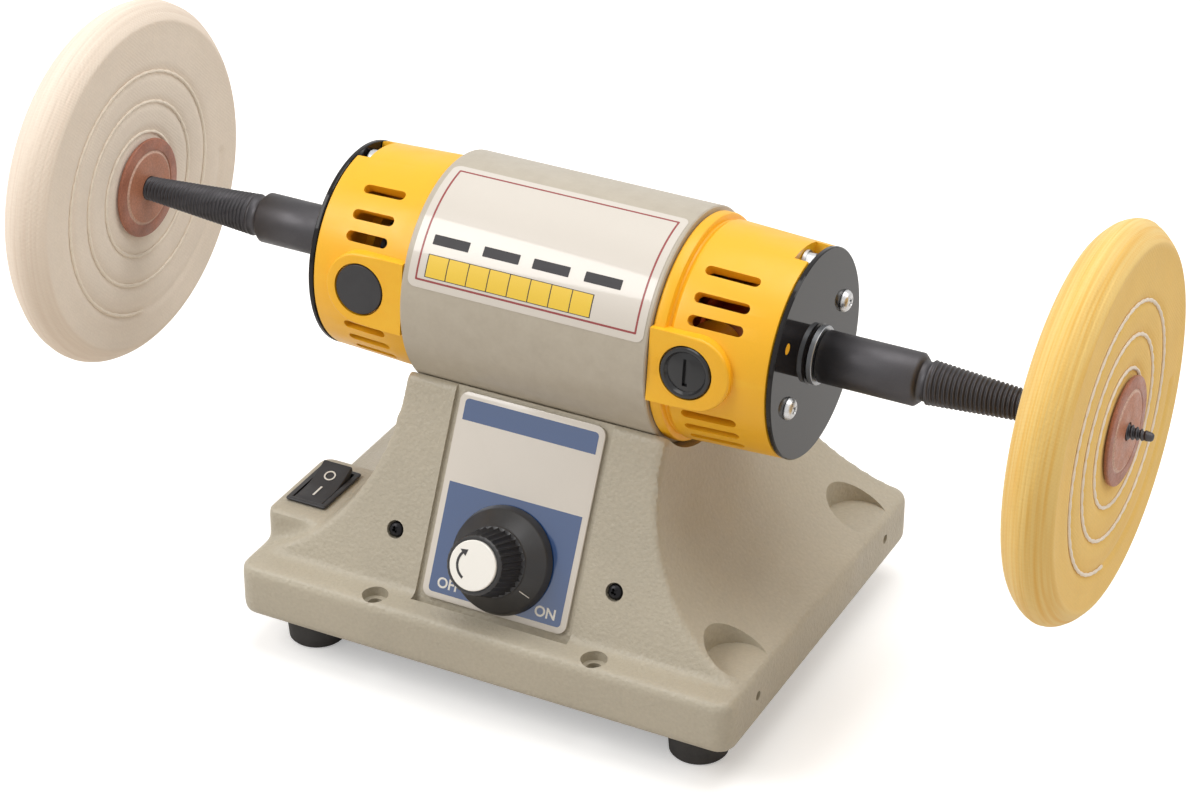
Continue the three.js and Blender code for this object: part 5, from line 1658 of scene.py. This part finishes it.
@dataclass
class Buff:
    """One stitched cotton buff with its leather washers."""

    end: End
    cloth: Finish
    slot: str
    seed: float
    inner: float = 142.4
    outer: float = 156.4
    face_radius: float = 48.9
    radius: float = 54.0
    plies: int = 8
    ply_edge: float = 0.12
    ply_rough: float = 0.16
    wave: float = 0.3
    wave_size: float = 16.0
    spiral_start: float = 14.5
    spiral_pitch: float = 8.9
    spiral_turns: float = 2.75
    groove: float = 0.55
    groove_half: float = 1.5
    stitch: float = 4.2
    waist: float = 0.3
    swell: float = 0.28
    sunk: float = 0.42
    washer: Outline = (
        (0.0, 14.3), (0.12, 14.58), (0.35, 14.7), (0.85, 14.7), (1.08, 14.58), (1.2, 14.3),
        (1.2, 11.4), (0.98, 11.1), (0.98, 10.8), (1.32, 10.4), (1.36, 9.8),
    )

    def build(self) -> None:
        """Makes the cloth, its two rows of stitching and its washers."""
        self.disc()
        self.stitching(self.inner, "inner", -1)
        self.stitching(self.outer, "outer", 1)
        self.leather(self.inner - 1.5, "inner", -1)
        self.leather(self.outer + 0.3, "outer", 1)

    def crown(self, along: float) -> float:
        """The rim's radius at a place along it: a clear edge at each face and a soft crown between them."""
        share = min(along - self.inner, self.outer - along) / (self.outer - self.inner)
        return self.face_radius + (self.radius - self.face_radius) * math.sin(math.pi * max(share, 0.0)) ** 0.8

    def disc(self) -> None:
        """Turns the cloth disc with its plies at the rim and lets it wander as cloth does."""
        bore, steps = Spindle.over_thread(self.inner) + 0.1, 70
        face = [bore + (self.face_radius - bore) * step / 84 for step in range(84)]
        rim = [self.inner + (self.outer - self.inner) * step / steps for step in range(steps + 1)]
        outline = [(self.inner, radius) for radius in face] + [(along, self.crown(along)) for along in rim]
        outline += [(self.outer, radius) for radius in reversed(face)]
        word = self.end.word
        piece = Piece.turned(f"cotton_buff_{word}", outline, 240).reshape(self.drape)
        made = self.end.fit(piece, self.cloth, self.slot, f"buff_{word}", body=Body.ROTOR, crease=70)

    def drape(self, place: Vector) -> Vector:
        """Draws in the plies' edges, the stitched groove and the cloth's slight waves.

        Args:
            place: a place on the plain disc.

        Returns:
            The place on the cloth.
        """
        middle, radius = (self.inner + self.outer) / 2, math.hypot(place.y, place.z)
        if radius < 6:
            return place
        angle = math.atan2(place.z, place.y)
        ply = (place.x - self.inner) / ((self.outer - self.inner) / self.plies)
        edge = abs(ply % 1 - 0.5) * 2
        at_rim = min(max((radius - self.face_radius - 0.4) / 2, 0.0), 1.0)
        lap = (3 * math.cos(angle), 3 * math.sin(angle), self.seed + 2.7 * math.floor(ply))
        drawn_in = at_rim * (self.ply_edge * edge**6 + self.ply_rough * (noise.noise(lap) + 0.6))
        share = 1 - max(0.0, drawn_in) / radius
        side = math.copysign(1.0, place.x - middle)
        flat = min(max((self.face_radius - radius) / 4, 0.0), 1.0)
        patch = (place.y / self.wave_size, place.z / self.wave_size, self.seed + side)
        wave = self.wave * noise.noise(patch) - self.wave
        groove = self.groove * math.exp(-((self.off_spiral(radius, angle) / self.groove_half) ** 2))
        sunk = flat * (groove - min(wave, 0.0) * 0.5)
        return Vector((place.x - side * sunk, place.y * share, place.z * share))

    def off_spiral(self, radius: float, angle: float) -> float:
        """How far a place on the face is from the stitched spiral.

        Args:
            radius: the place's distance from the axis.
            angle: its angle in radians.

        Returns:
            The distance along the radius.
        """
        turn = (angle / math.tau) % 1
        laps = round((radius - self.spiral_start) / self.spiral_pitch - turn)
        laps = min(max(laps, 0), math.ceil(self.spiral_turns) - 1)
        return radius - self.spiral_start - self.spiral_pitch * (laps + turn)

    def stitching(self, face: float, word: str, side: int) -> None:
        """Makes the thread as a rod with a waist at each needle hole and lays it on the spiral.

        Args:
            face: where the face is along the motor.
            word: its name.
            side: 1 when it faces out, else -1.
        """
        length = math.tau * self.spiral_turns * (self.spiral_start + self.spiral_pitch * self.spiral_turns / 2)
        steps = int(length / 0.85)
        along = [length * n / steps for n in range(1, steps)]
        swells = [abs(math.sin(math.pi * length * n / steps / self.stitch)) ** 0.5 for n in range(1, steps)]
        outline = [(0, 0), *((x, self.waist + self.swell * s) for x, s in zip(along, swells)), (length, 0)]
        thread = Piece.turned(f"stitches_{self.end.word}_{word}", outline, 6)
        thread.reshape(lambda place: self.laid(place, face, side))
        with thread.edit():
            bpy.ops.mesh.normals_make_consistent(inside=False)
        self.end.fit(thread, Finishes.THREAD, self.slot, body=Body.ROTOR, crease=60)

    def laid(self, place: Vector, face: float, side: int) -> Vector:
        """Puts a place on the straight thread where it lies on the face.

        Args:
            place: the place on the thread.
            face: where the face is along the motor.
            side: 1 when it faces out, else -1.

        Returns:
            The place on the face.
        """
        start, pitch = self.spiral_start, self.spiral_pitch / math.tau
        angle = (math.sqrt(start**2 + 2 * pitch * place.x) - start) / pitch
        radius = start + pitch * angle + place.y
        depth = face - side * (self.sunk - place.z * 0.8)
        return Vector((depth, radius * math.cos(angle), radius * math.sin(angle)))

    def leather(self, start: float, word: str, side: int) -> None:
        """Turns a leather washer with soft edges and a pressed ring.

        Args:
            start: where it starts along the motor.
            word: its face's name.
            side: 1 when its pressed face looks out, else -1.
        """
        bore = Spindle.over_thread(start) + 0.1
        profile = [(0.0, bore), *self.washer, (self.washer[-1][0], bore)]
        outline = [(start + x if side > 0 else start + 1.2 - x, radius) for x, radius in profile]
        name = f"washer_{self.end.word}_{word}"
        piece = Piece.turned("leather_" + name, outline)
        self.end.fit(piece, Finishes.LEATHER, "leather", name, body=Body.ROTOR, crease=35)


# ---- controls


@dataclass
class ControlPanel:
    """The printed panel on the sloping front and its two screws."""

    width: float = 44.6
    height: float = 58.05
    middle: float = 29.73
    border: float = 1.8
    corner: float = 1.2
    bands: Outline = ((1.8, 7.8), (25.2, 56.3))
    words: tuple[tuple[str, float], ...] = (("OFF", -14.6), ("ON", 15.4))

    def build(self) -> None:
        """Makes the sheet, its two blue fields, the words and the screws."""
        sheet = Piece.drawn("panel_sheet", rounded(self.width, self.height, 2.7, (0, self.middle)), -0.8, 0)
        sheet.soften(0.12, 2, 60).cut(self.bush_hole())
        sheet.fit(Finishes.SILVER_PRINT, "panel_print", "control_panel", frame=FRONT_FRAME)
        for number, (start, end) in enumerate(self.bands, 1):
            self.band(number, start, end)
        for text, x in self.words:
            word = Piece.words(f"word_{text}", text, 4.1, (x, 5.3, 0.04), 0.03)
            word.fit(Finishes.WHITE_PRINT, "panel_print", frame=FRONT_FRAME)
        for hand in Hand:
            self.screw(hand)

    def bush_hole(self) -> Piece:
        """Makes the tool for the hole round the control's bush."""
        return Piece.rod("bush_hole", -2, 2, 3.8, Axis.Z, (0, KNOB_UP), 48)

    def band(self, number: int, start: float, end: float) -> None:
        """Prints a blue field with two round corners, away from the sheet's middle.

        Args:
            number: the field's number, from the top.
            start: where it starts below the panel's top.
            end: where it ends below it.
        """
        top = self.middle + self.height / 2
        middle, height, half = top - (start + end) / 2, end - start, self.width / 2 - self.border
        low, high, corner = middle - height / 2, middle + height / 2, self.corner
        side, turn, square, curved = (1, 0, low, high) if number == 1 else (-1, 180, high, low)
        corners = [(-side * half, square), (side * half, square)]
        for way in (side, -side):
            centre = (way * (half - corner), curved - side * corner)
            corners += arc(centre, corner, turn, turn + 90, 6)
            turn += 90
        blue = Piece.drawn(f"blue_field_{number}", corners, 0, 0.04)
        if number == 2:
            blue.cut(self.bush_hole())
        blue.fit(Finishes.BLUE_PRINT, "panel_print", frame=FRONT_FRAME)

    def screw(self, hand: Hand) -> None:
        """Turns a blacked pan-head screw and cuts its cross recess.

        Args:
            hand: its side of the panel.
        """
        head = dome(-1.3, 1.45, 2.3, 0.6, (10, 30, 50, 68, 80))
        outline = [(-9, 0), (-9, 1.4), (-1.3, 1.4), (-1.3, 2.3), *head, (0.15, 0)]
        piece = Piece.turned(f"black_screw_{hand.word}", outline, 40).cut(*cross_recess(0.5, 1.3, 2.3))
        piece.turn(-90, Axis.Y).move((hand.value * FRONT_SCREW_X, 0, 0))
        piece.fit(Finishes.SCREW_BLACK, "black_steel", f"front_screw_{hand.word}", frame=KNOB_FRAME)


@dataclass
class SpeedKnob:
    """The skirted, ribbed knob with its pointer line and its printed disc."""

    skirt: Outline = ((0.3, 15.0), (0.5, 15.2), (2.6, 14.5), (3.1, 14.2), (6.0, 10.1), (6.6, 9.75))
    heights: Point = (6.7, 6.95, 10, 13, 16, 16.6, 17.2, 17.7)
    top: float = 18.2
    hollow: float = 7.6
    cup: Point = (17.5, 7.1)
    well: Point = (4.0, 2.7)
    barrel_top: float = 8.2
    ribs: int = 30
    rib_depth: float = 0.95
    disc: float = 6.9
    pointer_angle: float = -33

    def build(self) -> None:
        """Makes the knob, its line and its disc."""
        self.knob()
        self.pointer()
        self.insert()

    def fit(self, piece: Piece, finish: Finish, slot: str, *nodes: str, crease: float = 32.0) -> None:
        """Fits a piece that turns with the knob."""
        piece.fit(finish, slot, *nodes, frame=KNOB_FRAME, body=Body.KNOB, crease=crease)

    def knob(self) -> None:
        """Turns the knob, with its hollow, and draws its ribs."""
        (foot, wide), (floor, cup), (shoulder, bore) = self.skirt[-1], self.cup, self.well
        slim, tall = self.barrel_top - wide, self.top - foot
        barrel = [(z, wide + slim * (z - foot) / tall) for z in self.heights]
        outline = [(self.skirt[0][0], self.hollow), *self.skirt, *barrel, (18.05, 8.0), (self.top, 7.8)]
        outline += [(self.top, cup), (floor, cup), (floor, bore), (shoulder, bore), (shoulder, self.hollow)]
        piece = Piece.turned("ribbed_knob", outline, 8 * self.ribs).reshape(self.rib).turn(-90, Axis.Y)
        self.fit(piece, Finishes.KNOB, "black_plastic", "speed_knob", crease=28)

    def rib(self, place: Vector) -> Vector:
        """Draws the valleys between the ribs into the barrel.

        Args:
            place: a place on the plain knob.

        Returns:
            The place on the ribbed knob.
        """
        radius = math.hypot(place.y, place.z)
        if place.x < 6.8 or radius < 7.5:
            return place
        phase = math.atan2(place.z, place.y) * self.ribs
        ends = min(1.0, (place.x - 6.65) / 0.3, max(0.12, (17.8 - place.x) / 1.2))
        share = 1 - self.rib_depth * ends * abs(math.sin(phase / 2)) ** 0.8 / radius
        return Vector((place.x, place.y * share, place.z * share))

    def pointer(self) -> None:
        """Lays the pale pointer line on the skirt, towards ON."""
        rise = math.degrees(math.atan2(3.35, 4.4))
        line = Piece.box("pointer_line", (3.6, 0.22, 0.08)).turn(rise, Axis.Y).move((12.25, 0, 4.5))
        self.fit(line.turn(self.pointer_angle, Axis.Z), Finishes.WHITE_PRINT, "insert_print")

    def insert(self) -> None:
        """Turns the printed disc and prints the turning arrow on it."""
        outline = [(17.8, 0), (17.8, self.disc), (18.75, self.disc), (18.95, self.disc - 0.2), (19.0, 0)]
        disc = Piece.turned("knob_disc", outline, 72).turn(-90, Axis.Y)
        self.fit(disc, Finishes.DISC_PRINT, "insert_print", "knob_insert")
        centre = (-0.1, 0)
        outer, inner = arc(centre, 4.75, 242, 140, 20), arc(centre, 4.05, 140, 242, 20)
        tip = [arc(centre, radius, angle, angle, 1)[0] for radius, angle in ((5.6, 140), (4.4, 116), (3.2, 140))]
        arrow = Piece.drawn("turn_arrow", [*outer, *tip, *inner], 19.0, 19.04)
        self.fit(arrow, Finishes.DARK_PRINT, "insert_print")


@dataclass
class RockerSwitch:
    """The rocker switch on the left flank: frame, key and its two marks."""

    flange: Point = (12.9, 20.8)
    pivot: float = 39.0
    key_width: float = 9.3
    half: float = 8.6
    rise: float = 1.4
    tilt: float = 10.0

    def build(self) -> None:
        """Makes the frame, the key and the marks."""
        self.surround()
        self.key()
        self.marks()

    def fit(self, piece: Piece, finish: Finish, *nodes: str) -> None:
        """Fits a piece that tilts with the key."""
        frame = Matrix.Translation((*SWITCH_AT, self.pivot)) @ turned_by(self.tilt)
        piece.fit(finish, "black_plastic", *nodes, frame=frame, body=Body.ROCKER)

    def surround(self) -> None:
        """Makes the frame with a soft flange and an open well."""
        width, length = self.flange
        body = Piece.drawn("switch_frame", rounded(width, length, 0.8, steps=4), 38.2, self.pivot)
        body.soften(0.35, 3, 60).add(Piece.box("switch_body", (width - 2.4, length - 2.4, 12.6), (0, 0, 32.2)))
        body.cut(Piece.box("switch_well", (width - 3.0, length - 3.0, 11.4), (0, 0, 33.7)))
        body.move((*SWITCH_AT, 0)).fit(Finishes.BLACK_SATIN, "black_plastic", "rocker_frame")

    def key(self) -> None:
        """Makes the key, dished between its two raised ends."""
        half, shares = self.half, (1, 0.8, 0.6, 0.4, 0.2, 0)
        steps = [(1, s) for s in shares] + [(-1, s) for s in shares[-2::-1]]
        top = [(half * side * s, self.rise * s**1.35) for side, s in steps]
        under = [(-half, 0), (-half / 2, -3), (half / 2, -3), (half, 0)]
        key = Piece.drawn("switch_key", [*top, *under], -self.key_width / 2, self.key_width / 2, Axis.X)
        self.fit(key.soften(0.3, 3, 40), Finishes.BLACK_SATIN, "rocker_key")

    def marks(self) -> None:
        """Prints the round mark on the raised end and the stroke on the pressed end."""
        lean = math.degrees(math.atan2(self.rise, self.half))
        ring = Piece.drawn("mark_off", arc((0, 0), 1.75, 0, 350, 35), 0, 0.06)
        ring.cut(Piece.rod("mark_inside", -1, 1, 1.3, Axis.Z, sides=36))
        self.fit(ring.turn(lean).move((0, 3.6, 0.62)), Finishes.WHITE_PRINT)
        stroke = Piece.drawn("mark_on", rounded(0.6, 4.8, 0.1, steps=2), 0, 0.06)
        self.fit(stroke.turn(-lean).move((0, -3.4, 0.58)), Finishes.WHITE_PRINT)


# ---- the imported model's own pieces


@dataclass
class InnerWorks:
    """The pieces inside the machine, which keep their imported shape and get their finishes."""

    finishes: tuple[tuple[Finish, str], ...] = (
        (Finishes.STEEL, "base_cover control_bracket potentiometer_shaft stator_core motor_shaft rotor_core"),
        (Finishes.STEEL, "bearing_outer_left bearing_inner_left bearing_outer_right bearing_inner_right"),
        (Finishes.ZINC, "potentiometer motor_mount_screw_left motor_mount_screw_right"),
        (Finishes.ZINC, "foot_screw_front_left foot_screw_front_right foot_screw_back_left foot_screw_back_right"),
        (Finishes.LAMINATE, "circuit_board"),
        (Finishes.COPPER, "field_coil_top field_coil_bottom rotor_winding"),
        (Finishes.BRASS_COPPER, "commutator"),
        (Finishes.CARBON, "carbon_brush_front carbon_brush_back"),
        (Finishes.BLACK_SATIN, "cooling_fan"),
    )

    def dress(self, nodes: dict[str, bpy.types.Object]) -> None:
        """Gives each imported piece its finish.

        Args:
            nodes: the frame's objects by name.
        """
        for finish, names in self.finishes:
            for name in names.split():
                for slot in nodes[name].material_slots:
                    slot.material = finish.material()
                LOG.info("%s: %s", name, finish.name)


# ---- the studio


@dataclass(frozen=True)
class Softbox:
    """One soft lamp over the table."""

    name: str
    place: Point
    size: float
    watts: float
    aim: Point = (0.0, 0.0, 0.08)

    def build(self) -> None:
        """Hangs the lamp and points it."""
        Piece.clear()
        bpy.ops.object.light_add(type="AREA", location=self.place)
        lamp = bpy.context.object
        lamp.name = self.name
        lamp.data.shape, lamp.data.size, lamp.data.energy = "DISK", self.size, self.watts
        lamp.rotation_euler = (Vector(self.aim) - Vector(self.place)).to_track_quat("-Z", "Y").to_euler()


@dataclass
class Studio:
    """The pale floor, the white surroundings, the soft lamps and the camera, in metres."""

    lamps: tuple[Softbox, ...] = (
        Softbox("key_softbox", (-0.75, -0.65, 0.95), 0.8, 7.5),
        Softbox("top_softbox", (0.1, 0.2, 1.4), 1.1, 8.0),
        Softbox("left_softbox", (-1.1, 0.1, 0.55), 0.7, 1.0),
        Softbox("right_softbox", (0.9, 0.35, 1.0), 0.7, 3.2),
    )
    camera_place: Point = (0.3715, -0.7171, 0.5446)
    camera_aim: Point = (0.00635, 0.0, 0.07073)
    camera_roll: float = 0.2
    lens: float = 100.64
    white: Colour = (1.0, 1.0, 1.0)
    surround: Colour = (0.45, 0.425, 0.395)
    floor_seen: Colour = (0.97, 0.97, 0.97)
    floor_bounce: Colour = (0.66, 0.62, 0.57)
    floor_lift: float = 0.33
    lift_reach: Point = (0.5, 1.3)

    def build(self) -> None:
        """Sets up the studio."""
        self.floor()
        self.world()
        for lamp in self.lamps:
            lamp.build()
        self.camera()

    def floor(self) -> None:
        """Lays the floor, white to the camera but for the object's shadow."""
        Piece.clear()
        bpy.ops.mesh.primitive_plane_add(size=6)
        floor = bpy.context.object
        floor.name = "studio_floor"
        floor.data.materials.append(self.floor_material())

    def floor_material(self) -> bpy.types.Material:
        """Makes the floor's material, which glows to the camera, and more so away from the object.

        Returns:
            The material.
        """
        made = bpy.data.materials.new("studio floor")
        m = Paintwork(made)
        in_view = m.add("ShaderNodeLightPath").outputs["Is Camera Ray"]
        lift = m.spread(m.length(m.place), self.floor_lift, 1.0, *self.lift_reach)
        inputs = {
            "Base Color": m.blend(self.seen(m), self.floor_bounce, self.floor_seen),
            "Emission Color": (*self.white, 1.0),
            "Emission Strength": m.math("MULTIPLY", in_view, lift),
            "Roughness": 0.9,
            "Specular IOR Level": 0.1,
        }
        m.feed(m.shader, inputs)
        return made

    def seen(self, w: Wiring) -> Socket:
        """Masks the rays that see the background: those from the camera, in gloss and through glass.

        Args:
            w: the material's or the world's wiring.

        Returns:
            The mask.
        """
        path = w.add("ShaderNodeLightPath").outputs
        camera_or_gloss = w.math("MAXIMUM", path["Is Camera Ray"], path["Is Glossy Ray"])
        return w.math("MAXIMUM", camera_or_gloss, path["Is Transmission Ray"])

    def world(self) -> None:
        """Makes the surroundings: even soft light, white to the camera and in gloss."""
        world = bpy.data.worlds.new("studio")
        bpy.context.scene.world = world
        world.use_nodes = True
        w = Wiring(world.node_tree)
        w.feed(w.tree.nodes["Background"], {"Color": w.blend(self.seen(w), self.surround, self.white)})

    def camera(self) -> None:
        """Sets the camera at the photograph's angle."""
        data = bpy.data.cameras.new("studio_camera")
        data.lens, data.sensor_width, data.clip_start = self.lens, 36.0, 0.01
        camera = bpy.data.objects.new("studio_camera", data)
        bpy.context.scene.collection.objects.link(camera)
        camera.location = self.camera_place
        look = (Vector(self.camera_aim) - Vector(self.camera_place)).to_track_quat("-Z", "Y").to_matrix()
        camera.rotation_euler = (look @ Matrix.Rotation(math.radians(self.camera_roll), 3, "Z")).to_euler()
        bpy.context.scene.camera = camera
        bpy.context.scene.view_settings.view_transform = "Standard"


def main() -> None:
    """Builds the machine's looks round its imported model."""
    logging.basicConfig(level=logging.INFO, format="%(message)s")
    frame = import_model()
    Studio().build()
    InnerWorks().dress(frame["nodes"])
    Base().build()
    MotorHousing().build()
    for end in (LEFT_END, RIGHT_END):
        EndCap(end).build()
        EndPlate(end).build()
        Spindle(end).build()
    MotorFittings().build()
    Buff(LEFT_END, Finishes.CREAM_COTTON, "cream_cotton", 3.0).build()
    Buff(RIGHT_END, Finishes.YELLOW_COTTON, "yellow_cotton", 11.0).build()
    ControlPanel().build()
    SpeedKnob().build()
    RockerSwitch().build()


if __name__ == "__main__":
    main()
